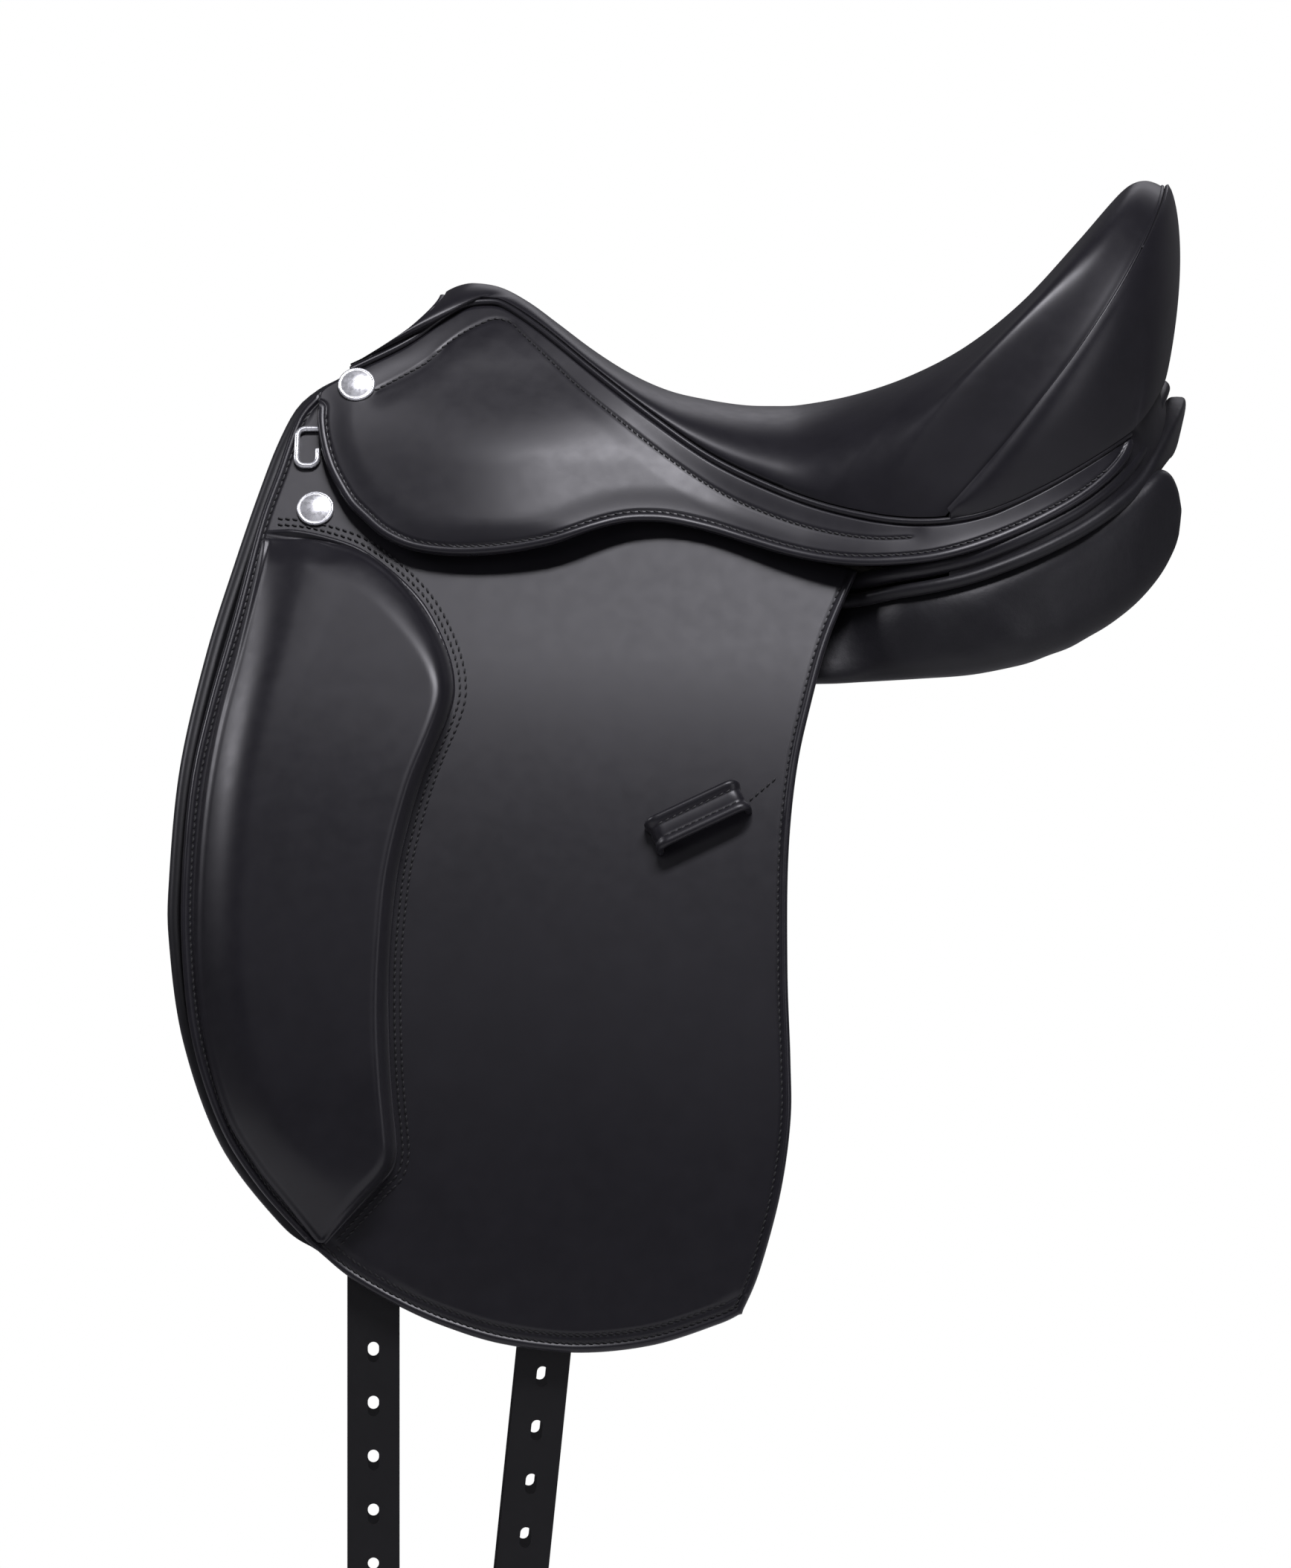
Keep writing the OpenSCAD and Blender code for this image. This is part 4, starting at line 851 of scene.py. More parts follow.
@dataclass(frozen=True)
class StitchRow:
    """Row of short sewn stitches sunk into a leather face."""

    length: float = 3.0
    radius: float = 0.55
    slant: float = 12.0

    def form(self, path: Array, normal: Array) -> Form:
        """Stitches along a path.

        Each is a six-sided spindle of four rings, laid on the path's direction turned by the slant.

        Args:
            path: Middles of the stitches.
            normal: Outward direction at each.

        Returns:
            All stitches of the row.
        """
        t = unit(np.gradient(path, axis=0))
        side = unit(np.cross(normal, t))
        a = math.radians(self.slant)
        way = math.cos(a) * t + math.sin(a) * side
        across = np.cross(normal, way)
        sides, shares, sizes = 6, np.array([-0.5, -0.3, 0.3, 0.5]), np.array([0.35, 1.0, 1.0, 0.35])
        rings, count = len(shares), sides * len(shares)
        ring = np.linspace(0, 2 * np.pi, sides, endpoint=False)
        place, size = np.repeat(shares * self.length, sides), np.repeat(sizes * self.radius, sides)
        c, s = np.tile(np.cos(ring), rings) * size, np.tile(np.sin(ring), rings) * size
        dip = 0.35 * self.radius * (1 - (place / (0.5 * self.length)) ** 2)
        points = (path[:, None] + place[None, :, None] * way[:, None] + c[None, :, None] * across[:, None]
                  + (s + dip)[None, :, None] * normal[:, None])
        index = np.arange(count).reshape(rings, sides)
        start = count * np.arange(len(path))[:, None, None]
        ends = np.stack([index[0], index[-1, ::-1]])
        faces = (quads(index, wrap=True)[None] + start).reshape(-1, 4).tolist()
        faces += (ends[None] + start).reshape(-1, sides).tolist()
        return Form(points.reshape(-1, 3), faces)

    def on_wall(self, wall: SideWall, xz: Array, o: float) -> Form:
        """Stitches along a line seen from the side, o outward from the flap's outer face."""
        return self.form(wall.place(xz, o), wall.outward(xz))


@dataclass
class Seat:
    """Seat, cantle gusset, welts and the webs under the seat."""

    shape: SeatForm
    finishes: Finishes

    def build(self) -> None:
        """Builds and dresses the seat's pieces."""
        self.seat()
        self.gusset()
        self.welts()
        self.webs()

    def seat(self) -> None:
        """Stuffed seat: ribs over the top, an arched underside, a shallow groove at the cantle seam."""
        cx = np.concatenate([np.linspace(-160, -90, 40, endpoint=False),
                             np.linspace(-90, 175, 90, endpoint=False),
                             CANTLE_X - 50 * np.linspace(1, 0, 34) ** 1.6])
        a = np.linspace(-90, 90, 97)
        top = self.shape.seat_p(cx[:, None], a[None])
        sink = 0.5 * bell(cx, CANTLE_X, 2.2)[:, None] + 0.7 * bell(np.abs(a), 90, 1.6)[None]
        top = top - sink[..., None] * normals(top)
        x, y = top[..., 0], top[..., 1] * 0.94
        low = np.maximum(self.shape.seat_base(x, y), rise(WELT_LINE, x) + WELT_GAP + 0.4)
        base = np.stack([x, y, np.minimum(top[..., 2] - 0.6, low)], -1)
        piece = make("stuffed_seat", shell(top, base), self.finishes.seat, 60)
        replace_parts(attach(piece, "saddle"), "seat_cover", "seat_foam")

    def gusset(self) -> None:
        """Cantle gusset, with a thin sewn ridge round the plain panel at its middle."""
        a, v = np.linspace(-89, 89, 121), np.linspace(0, 1, 36)
        grid = self.shape.gusset_p(a[None], v[:, None])
        out = -normals(grid)
        groove = 0.4 * bell(v[:, None], 0.0, 0.03)
        leather = shell(grid - groove[..., None] * out, grid - 2.5 * out, 0.3)
        seam = self.panel_seam()
        facing = unit(seam * [1, 1.4, 0] + [-150, 0, 12])
        ridge_form = carried(seam + 0.25 * facing, facing, self.cord(0.9))
        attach(make("gusset_seam", ridge_form, self.finishes.thread), "saddle")
        form = joined([leather, self.under_leather()])
        piece = make("gusset_leather", form, self.finishes.seat, 60)
        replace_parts(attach(piece, "saddle"), "cantle_gusset")

    @staticmethod
    def cord(radius: float) -> Array:
        """Round section of a piping cord."""
        ring = np.linspace(0, 2 * np.pi, 12, endpoint=False)
        return radius * np.stack([np.cos(ring), np.sin(ring)], -1)

    def panel_seam(self) -> Array:
        """Seam round the plain middle panel: its drawn side view laid on the gusset's nearest points."""
        face = self.shape.gusset_p(*np.meshgrid(np.linspace(0, 70, 141), np.linspace(0, 0.8, 161)))
        drawn = np.asarray(PANEL_SEAM, float)
        off = np.linalg.norm(face[None, ..., ::2] - drawn[:, None, None], axis=-1)
        half = face.reshape(-1, 3)[off.reshape(len(drawn), -1).argmin(axis=1)]
        return Curve(np.concatenate([half, half[::-1] * [1, -1, 1]])).spaced(1.5)

    def under_leather(self) -> Form:
        """Leather that runs from the gusset's lower edge down behind the two rolls to the panel."""
        a = np.linspace(-89, 89, 121)
        line = np.asarray(BAND_LINE, float)
        edge = self.shape.gusset_low(a)
        past = np.interp(edge[:, 0], line[:, 0], np.arange(len(line)))
        place = np.where(np.abs(a) < TURN_A, lerp(12.0, 9.57, np.abs(a) / TURN_A), past)
        foot = along(line, place) * np.stack([0 * a + 1, np.sign(a), 0 * a + 1], -1)
        share = np.linspace(0, 1, 14)[:, None, None]
        grid = lerp(edge - [0, 0, 0.5], foot, share)
        way = unit(np.stack([np.cos(np.radians(a)), np.sin(np.radians(a)), 0 * a], -1))
        return shell(grid, grid - 1.6 * way)

    def welts(self) -> None:
        """Piping between seat and skirts and along the cantle seam: round cords in leather."""
        forms = []
        for side in Side:
            x = np.linspace(-211, 206.5, 260)
            path = np.stack([x, side.sign * (self.shape.welt_s(x) + 0.4), rise(WELT_LINE, x)], -1)
            up = np.tile([0.0, side.sign * 0.8, 0.6], (len(x), 1))
            forms.append(carried(path, up, self.cord(1.75)))
        rim = self.shape.seat_p(np.full(161, CANTLE_X), np.linspace(-89, 89, 161))
        up = np.tile([0.7, 0.0, 0.7], (len(rim), 1))
        forms.append(carried(rim - [0.1, 0, 0.7], up, self.cord(1.0)))
        piece = make("welt_piping", joined(forms), self.finishes.seat, 60)
        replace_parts(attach(piece, "saddle"), "seat_welts")

    def webs(self) -> None:
        """Two webs from head to cantle under the seat, slightly dished across."""
        forms = []
        for g in (-1.0, 1.0):
            x, y = np.meshgrid(np.linspace(-128, 196, 120), np.linspace(6, 34, 12), indexing="ij")
            w = g * y * np.minimum(1, (self.shape.welt_s(x) - 9) / 40)
            z = self.shape.seat_base(x, w) - 1.0 - 0.3 * np.cos((y - 20) / 14 * 1.4)
            top = np.stack([x, w, z], -1)
            forms.append(shell(top, top - [0, 0, 1.7], 0.5))
        piece = make("woven_seat_webs", joined(forms), self.finishes.web)
        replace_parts(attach(piece, "saddle"), "seat_webs")


@dataclass
class PommelFront:
    """Leather facing over the front of the head."""

    shape: SeatForm
    finishes: Finishes
    foot_x: float = -167.0
    thick: float = 2.5

    def build(self) -> None:
        """Builds the facing: columns from the arch up to the seat's rim, ending on the sweat flaps."""
        a = np.linspace(-78.75, 78.75, 61)
        t = np.linspace(0, 1, 9)[:, None, None]
        grids = []
        for k in (0.0, self.thick):
            mid, (first, last) = self.columns(a, k), self.ends(k)
            left = lerp(first, mid[:, 0], t[:-1]).transpose(1, 0, 2)
            right = lerp(mid[:, -1], last, t[1:]).transpose(1, 0, 2)
            grids.append(np.concatenate([left, mid, right], 1))
        form = shell(grids[1], grids[0], 0.4)
        piece = make("pommel_front_leather", form, self.finishes.flap, 60)
        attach(piece, "saddle")
        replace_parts(piece, "pommel_facing")

    def columns(self, a: Array, k: float) -> Array:
        """Grid of the facing, rows from the arch's foot to the rim, moved forward by k."""
        g = np.sign(a)
        p = self.shape.seat_p(np.full_like(a, -160.0), a)
        f = unit(p - self.shape.seat_p(np.full_like(a, -157.0), a))
        q = self.arch(6 * np.abs(a) / 79, 12.0)
        foot = np.stack([np.full_like(a, self.foot_x), g * q[:, 0], q[:, 1]], -1)
        limit = self.shape.welt_s(p[:, 0] + 2) - 3.6
        rim = np.stack([p[:, 0] + 0.8 * f[:, 0], g * np.minimum(np.abs(p[:, 1]), limit),
                        p[:, 2] + 0.8 * f[:, 2] - 1.4], -1)
        tuck = np.stack([0 * a + 3, -3 * g, 0 * a - 2], -1)
        lip = lerp(rim, foot, 0.12) + ease((np.abs(a) - 20) / 55)[:, None] * tuck
        e = ease((np.abs(a) - 25) / 50)
        way = unit(np.stack([1 - 0.5 * e, 0.9 * g * e, 0 * e], -1))
        face = lerp(foot, lip, np.linspace(0, 1, 16)[:, None, None])
        up = lerp(lip, rim, np.array([0.35, 0.7, 1.0])[:, None, None])
        return np.concatenate([face, up]) - k * way

    def ends(self, k: float) -> list[Array]:
        """End columns of the facing on the inner faces of both sweat flaps, moved inward by k."""
        line = np.array([(-178, 33), (-188, 47), (-199, 64), (-210, 83), (-213, 90)], float)
        xz = along(line, np.concatenate([np.linspace(0, 3, 16), [3.35, 3.7, 4.0]]))
        s = self.shape.wall.half_width(xz[:, 0], xz[:, 1], FACING_O)
        ways = [unit(np.array([1.0, 0.6 * g, 0.0])) for g in (-1, 1)]
        return [np.stack([xz[:, 0], g * s, xz[:, 1]], -1) - k * w for g, w in zip((-1, 1), ways)]

    @staticmethod
    def arch(t: Array, o: float) -> Array:
        """Arch under the head seen from the front, o inward from the tree's line."""
        p = along(HEAD_LINE, t)
        d = along(HEAD_LINE, np.minimum(t + 0.2, 6)) - along(HEAD_LINE, np.maximum(t - 0.2, 0))
        return p + o * unit(np.stack([-np.abs(d[:, 1]) * (t > 0), -np.abs(d[:, 0])], -1))


@dataclass
class Skirt:
    """Skirt of one side, whose front lobe lifts over the stirrup bar."""

    shape: SeatForm
    finishes: Finishes

    def build(self) -> None:
        """Builds the skirt's leather and its two sewn rows."""
        side = self.shape.wall.side.value
        edge, top = Curve(SKIRT_EDGE), Curve(self.top_line())
        xz = self.columns(edge, top)
        d = distance(xz, edge.spaced(3.0))
        line = distance(xz, Curve(SKIRT_STITCH).spaced(3.0))
        lip = 0.9 * ridge(d, 1.6, 1.9) - 0.55 * bell(d, 4.2, 0.7)
        field = 0.8 * ease((d - 5) / 14) * ease(line / 12) - 0.5 * bell(line, 0.0, 0.8)
        lift = self.shape.skirt_lift(xz)
        front = self.shape.side_p(xz, lift + SKIRT_O - SKIRT_BACK_O + lip + field)
        back = self.shape.side_p(xz, lift + 0.1)
        form = shell(front, back, 1.5, np.exp(-d / 2.5))
        piece = make(f"skirt_leather_{side}", form, self.finishes.flap, 60)
        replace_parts(self.hang(piece), f"skirt_{side}", f"skirt_lobe_{side}")
        rows = {"edge": (inset(edge.spaced(4.0, 0.01, 0.958), 3.9), 3.75, 22.0),
                "inner": (Curve(SKIRT_STITCH).spaced(3.6), 3.8, 10.0)}
        for name, (path, o, slant) in rows.items():
            place = self.shape.side_p(path, self.shape.skirt_lift(path) + o)
            row = StitchRow(3.1, 0.6, slant * self.shape.wall.side.sign)
            form = row.form(place, self.shape.wall.outward(path))
            self.hang(make(f"skirt_{name}_stitches_{side}", form, self.finishes.thread))

    def top_line(self) -> list[tuple[float, float]]:
        """Upper edge of the skirt just under the welt, from the front corner to the rear tip."""
        x = np.array([-211, -204, -190, -180, -170, -160, -150, -140, -130, -120, -110, -95, -80, -65,
                      -50, -35, -20, -5, 10, 25, 40, 55, 70, 90, 110, 130, 145, 160, 175, 190, 200,
                      206.5])
        z = rise(WELT_LINE, x) - 2.9
        return [(-227.2, 87.5), (-224, 91), (-217, 95.2)] + list(zip(x.tolist(), z.tolist()))

    @staticmethod
    def columns(edge: Curve, top: Curve) -> Array:
        """Flat grid of straight columns from the lower edge to the upper one, close at both ends."""
        u = np.concatenate([np.linspace(0, 0.12, 50, endpoint=False), np.linspace(0.12, 1, 230)])
        low, high = edge.at(u)[:, None], top.at(u)[:, None]
        tall = np.linalg.norm(high - low, axis=-1)
        fit = np.minimum(1, tall / 34.0)
        a, b = np.linspace(0, 8, 11)[None] * fit / tall, np.linspace(17, 0, 20)[None] * fit / tall
        mid = lerp(a[:, -1:], 1 - b[:, :1], np.linspace(0, 1, 26)[None])
        t = np.concatenate([a[:, :-1], mid, 1 - b[:, 1:]], 1)
        return lerp(low, high, t[..., None])

    def hang(self, piece: Object) -> Object:
        """Bakes a piece's placement into its mesh; the bend across the lobe's hinge line is worked out
        but not applied.
        """
        start, end = self.shape.wall.fold(*LOBE_HINGE, 0.0, 12.0, 8.0)
        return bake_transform(piece, "saddle", f"skirt_lobe_{self.shape.wall.side.value}", start, end)


@dataclass
class Flap:
    """Large flap of one side with its thigh block, sewn border and keeper."""

    wall: SideWall
    finishes: Finishes
    thick: float = 5.0
    block_h: float = 24.0

    def build(self) -> None:
        """Builds and dresses the flap's pieces."""
        self.sheet()
        self.border_rows()
        self.seam_band()
        self.block()
        self.keeper()

    @property
    def side(self) -> str:
        """Name of the side."""
        return self.wall.side.value

    def hang(self, piece: Object) -> Object:
        """Bakes a piece's placement into its mesh; the bend across the flap's hinge line is worked out
        but not applied.
        """
        start, end = self.wall.fold(*HINGE, 0.0, 14.0)
        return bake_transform(piece, "saddle", f"flap_{self.side}", start, end)

    def sheet(self) -> None:
        """Flap leather: a rolled lip, a sewn groove and a flat border along its free edges."""
        front, rear = Curve(FLAP_FRONT[::-1]), Curve(FLAP_REAR)
        low, high = Curve(FLAP_LOW), Curve(FLAP_TOP[::-1])
        xz = patch(front, rear, low, high, close_ends(18, 0.05, 60), close_ends(18, 0.034, 96))
        d = distance(xz, np.concatenate([front.spaced(3.0)[::-1], low.spaced(3.0), rear.spaced(3.0)]))
        d_low = distance(xz, low.spaced(3.0))
        lip = 0.75 * ridge(d, 1.3, 1.5) - 0.5 * bell(d, 3.9, 0.6)
        border = (0.45 * ease((d_low - 9) / 1.2) * ease((30 - d_low) / 20)
                  - 0.45 * bell(d_low, 8.2, 0.6) * ease((d - 3) / 3))
        x, z = xz[..., 0], xz[..., 1]
        wave = 0.7 * np.sin(x / 47.0 + z / 71.0) * ease((-150 - z) / 150) * ease((x + 150) / 80)
        o = lip + border + wave * ease(d / 20)
        back = self.wall.place(xz, -self.thick)
        form = shell(self.wall.place(xz, o), back, 1.2, np.exp(-d / 2.2))
        piece = make(f"flap_leather_{self.side}", form, self.finishes.flap, 60)
        self.cut_window(piece)
        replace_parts(self.hang(piece), f"flap_{self.side}", f"flap_head_{self.side}")

    def cut_window(self, piece: Object) -> None:
        """Cuts the opening in the flap's head through which the stirrup bar stands."""
        t = math.radians(BAR_TILT)
        turn = np.array([[math.cos(t), math.sin(t)], [-math.sin(t), math.cos(t)]])
        xz = np.array(BAR_SPOT) + np.array(WINDOW) @ turn
        rings = np.stack([self.wall.place(xz, -16.0), self.wall.place(xz, 16.0)])
        tool = make("window_tool", tube(rings), self.finishes.flap)
        cut = piece.modifiers.new("window", "BOOLEAN")
        cut.operation, cut.solver, cut.object = "DIFFERENCE", "EXACT", tool
        graph = bpy.context.evaluated_depsgraph_get()
        mesh = bpy.data.meshes.new_from_object(piece.evaluated_get(graph))
        piece.modifiers.clear()
        piece.data = mesh
        bpy.data.objects.remove(tool)

    def border_rows(self) -> None:
        """Sewn rows inside the flap's free edges."""
        front, low, rear = Curve(FLAP_FRONT), Curve(FLAP_LOW), Curve(FLAP_REAR)
        rows = [inset(front.spaced(3.8, 0.02, 0.99), 3.9), inset(low.spaced(3.8), 3.9),
                inset(low.spaced(3.8, 0.03, 0.97), 8.2), inset(rear.spaced(3.8, 0.01, 0.97), 3.9)]
        row = StitchRow(2.9, 0.5, 14 * self.wall.side.sign)
        form = joined([row.on_wall(self.wall, p, -0.25) for p in rows])
        self.hang(make(f"flap_edge_stitches_{self.side}", form, self.finishes.thread))

    def seam_band(self) -> None:
        """Raised bead behind the block and a flat band with two sewn rows, carried along the seam."""
        seam = Curve(BLOCK_SEAM)
        path = seam.spaced(2.0)
        out = self.wall.outward(path)
        section = np.array(SEAM_SECTION) * [-self.wall.side.sign, 1.0]
        step = np.arange(len(path))
        fade = np.minimum(1, np.minimum(step, step[::-1]) / 6.0)
        rings = section[None] * np.stack([0.55 + 0.45 * fade, fade], -1)[:, None]
        band = carried(self.wall.place(path, 0.1), out, rings)
        self.hang(make(f"block_seam_band_{self.side}", band, self.finishes.flap, 70))
        row = StitchRow(2.8, 0.5, 12 * self.wall.side.sign)
        middles = seam.spaced(3.7, 0.015, 0.985)
        form = joined([row.on_wall(self.wall, inset(middles, d), 0.45) for d in (3.6, 6.8)])
        self.hang(make(f"block_seam_stitches_{self.side}", form, self.finishes.thread))

    def block(self) -> None:
        """Thigh block: a padded form whose height rises from its sewn edge.

        The height is the lip plus the block's height times its crown share, times rises over the front
        bevel, the rear roll and the shoulder at the top, each by distance from its edge. A bead and a
        groove run along the edge.
        """
        t = np.linspace(0, 1, 190)
        z = lerp(BLOCK_LOW, BLOCK_TOP, t - 0.05 * np.sin(2 * np.pi * t))
        u = 0.5 - 0.5 * np.cos(np.linspace(0, np.pi, 72))
        x = lerp(rise(BLOCK_FRONT, z)[:, None], rise(BLOCK_BACK, z)[:, None], u[None])
        xz = np.stack([x, np.broadcast_to(z[:, None], x.shape)], -1)
        ahead = distance(xz, np.stack([rise(BLOCK_FRONT, z), z], -1)[::2])
        behind = distance(xz, np.stack([rise(BLOCK_BACK, z), z], -1)[::2])
        above = np.clip(BLOCK_TOP - xz[..., 1], 0, None)
        bevel = 1 - (1 - np.clip(ahead / 27, 0, 1)) ** 2.3
        roll_w = lerp(9.0, 20.0, ease((xz[..., 1] + 95) / 90))
        roll = np.sqrt(1 - (1 - np.clip(behind / roll_w, 0, 1)) ** 2)
        crown = np.clip(0.16 + 0.84 * rise(BLOCK_CROWN, xz[..., 1]), 0, 1)
        slant = lerp(0.6, 1.05, ahead / np.maximum(ahead + behind, 1e-6))
        shoulder = 1 - (1 - np.clip(above / 14, 0, 1)) ** 2
        height = 2.0 + (self.block_h - 0.6) * crown * slant * bevel * roll * shoulder
        edge = np.minimum(ahead, behind)
        height += 0.5 * bell(edge, 1.2, 1.0) - 0.3 * bell(edge, 3.4, 0.7)
        back = self.wall.place(xz, 0.25)
        form = shell(self.wall.place(xz, height), back, 0.8, 0.35 * np.exp(-ahead / 6))
        piece = make(f"thigh_block_pad_{self.side}", form, self.finishes.block, 60)
        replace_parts(self.hang(piece), f"thigh_block_{self.side}")

    def keeper_axes(self) -> tuple[Array, Array, Array, Array]:
        """Keeper's foot on the flap, with the outward, crosswise and lengthwise directions there."""
        spot, turn = np.array(KEEPER_SPOT), math.radians(KEEPER_TILT)
        n = self.wall.outward(spot)
        level = unit(np.cross([0.0, 0.0, 1.0], n)) * -self.wall.side.sign
        steep = np.cross(n, level)
        steep = steep if steep[2] > 0 else -steep
        across = math.cos(turn) * level + math.sin(turn) * steep
        strap = -math.sin(turn) * level + math.cos(turn) * steep
        return self.wall.place(spot, 0.0), n, across, strap

    def keeper(self) -> None:
        """Keeper loop: a leather strap with rolled edges bent over the stirrup leather's tail.

        Its line is seen along the strap: up one leg, round a corner, flat across, and down again.
        """
        origin, n, across, strap = self.keeper_axes()
        half, high, r = 25.5, 9.9, 5.0
        bend = np.linspace(np.pi / 2, 0, 9)
        right = np.stack([half - r + r * np.sin(bend), high - r + r * np.cos(bend)], -1)
        flatway = np.stack([np.linspace(half - r, r - half, 30)[1:-1], np.full(28, high)], -1)
        line = np.concatenate([[(half, 0.6), (half, 2.6)], right, flatway, (right * [-1, 1])[::-1],
                               [(-half, 2.6), (-half, 0.6)]])
        path = origin + line[:, :1] * across + line[:, 1:] * n
        t = np.gradient(line, axis=0)
        face = unit(np.stack([-t[:, 1], t[:, 0]], -1))
        face = face * np.sign((face * (line - [0, 3.0])).sum(-1, keepdims=True))
        up = face[:, :1] * across + face[:, 1:] * n
        side = unit(np.cross(unit(np.gradient(path, axis=0)), up))
        section = np.array(KEEPER_SECTION) * [np.sign((side @ strap).mean()), 1.0]
        form = carried(path, up, section)
        piece = make(f"keeper_loop_{self.side}", form, self.finishes.flap, 60)
        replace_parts(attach(piece, f"flap_{self.side}"), f"keeper_{self.side}")
        row, x = StitchRow(2.9, 0.5), np.linspace(-20, 20, 11)[:, None]
        middles = origin + x * across + (high + 1.0) * n
        forms = [row.form(middles + b * strap, np.tile(n, (len(x), 1))) for b in (3.8, -3.8)]
        foot = np.array([(3 + 3.0 * k, -129.5 + 2.5 * k) for k in range(5)])
        forms.append(row.on_wall(self.wall, foot, 0.3))
        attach(make(f"keeper_stitches_{self.side}", joined(forms), self.finishes.thread),
                f"flap_{self.side}")


@dataclass
class SweatFlap:
    """Under-leather of one side, whose rolled front edge shows ahead of the flap."""

    wall: SideWall
    finishes: Finishes

    def build(self) -> None:
        """Builds the leather, its rolled front edge, which fades low down, and the sewn row behind it."""
        side = self.wall.side.value
        front, rear = Curve(SWEAT_FRONT[::-1]), Curve(SWEAT_REAR)
        low, high = Curve(SWEAT_LOW), Curve(SWEAT_TOP[::-1])
        xz = patch(front, rear, low, high, close_ends(18, 0.055, 50), close_ends(14, 0.034, 90))
        d = distance(xz, front.spaced(3.0))
        roll = 2.6 * ridge(d, 3.4, 3.6) - 0.5 * bell(d, 8.2, 0.8)
        roll = roll * ease((xz[..., 1] + 375) / 75)
        face = self.wall.place(xz, SWEAT_FACE_O + roll)
        form = shell(face, self.wall.place(xz, SWEAT_BACK_O - 0.25 * roll), 0.9, np.exp(-d / 4))
        piece = make(f"sweat_leather_{side}", form, self.finishes.lining, 60)
        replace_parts(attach(piece, "saddle"), f"sweat_flap_{side}")
        p = inset(Curve(SWEAT_FRONT).spaced(4.0, 0.05, 0.98), 8.2)
        form = StitchRow(2.9, 0.5).on_wall(self.wall, p, SWEAT_FACE_O - 0.1)
        row = make(f"sweat_edge_stitches_{side}", form, self.finishes.thread)
        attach(row, "saddle")


@dataclass
class Panel:
    """Stuffed cushion of one side that rests on the horse's back."""

    wall: SideWall
    finishes: Finishes
    gullet: float = 39.0
    ends: tuple[float, float] = (-232.9, 234.4)
    straight: float = 202.0
    front_point: tuple[float, float] = (56.0, -14.0)
    rear_y: float = 70.0

    def build(self) -> None:
        """Builds the panel: rounded four-cornered rings that close in at both ends, softly creased."""
        t = np.linspace(0, 1, 170)
        x = lerp(*self.ends, t - 0.12 * np.sin(2 * np.pi * t))[:, None]
        rings = self.ring(x, np.linspace(0, -2 * np.pi, 72, endpoint=False)[None])
        out = -normals(rings)
        z = rings[..., 2]
        crease = np.sin(x / 5.5 + z / 11.0 + 1.5 * np.sin(x / 31.0))
        spot = bump((x - 135) / 60) * bump((z + 42) / 22)
        dent = 0.8 * (1 + crease) * spot + 0.35 * np.sin(x / 19.0) * ease(t * 8)[:, None]
        rings = rings - dent[..., None] * out
        rings[..., 1] *= self.wall.side.sign
        side = self.wall.side.value
        piece = make(f"stuffed_panel_{side}", tube(rings), self.finishes.panel, 80)
        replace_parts(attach(piece, "saddle"), f"panel_{side}")

    def ring(self, x: Array, a: Array) -> Array:
        """Section of the panel.

        A rounded square of power 0.56 is stretched between four corner heights and from the gullet
        out to the side wall. Past the front it shrinks to a middle point; past the rear its corner
        heights run together and its width closes by a quarter ellipse.

        Args:
            x: Places along the panel.
            a: Angles round the section.

        Returns:
            Points of the section, on the far side.
        """
        c = np.clip(x, -self.straight, self.straight)
        k = np.maximum(0, 1 - np.abs((x - c) / 31.0) ** 1.7) ** 0.6
        ti, to, bi, bo = (rise(line, x) for line in (PANEL_TI, PANEL_TO, PANEL_BI, PANEL_BO))
        u = 0.5 + 0.5 * np.sign(np.cos(a)) * np.abs(np.cos(a)) ** 0.56
        v = 0.5 + 0.5 * np.sign(np.sin(a)) * np.abs(np.sin(a)) ** 0.56
        zi, zo = lerp(bi, ti, v), lerp(bo, to, v)
        out = lerp(self.wall.half_width(c, zo, PANEL_O), rise(PANEL_SIDE, x), ease((c - 40) / 45))
        past = ((x - self.straight) / 32.5) ** 2 * (x > self.straight)
        inner = self.gullet + (self.rear_y - self.gullet) * (1 - np.sqrt(np.clip(1 - past, 0, 1)))
        y, z = (np.where(x < 0, lerp(point, flat, k), flat)
                for point, flat in zip(self.front_point, (lerp(inner, out, u), lerp(zi, zo, u))))
        return np.stack([np.broadcast_to(x, y.shape), y, z], -1)


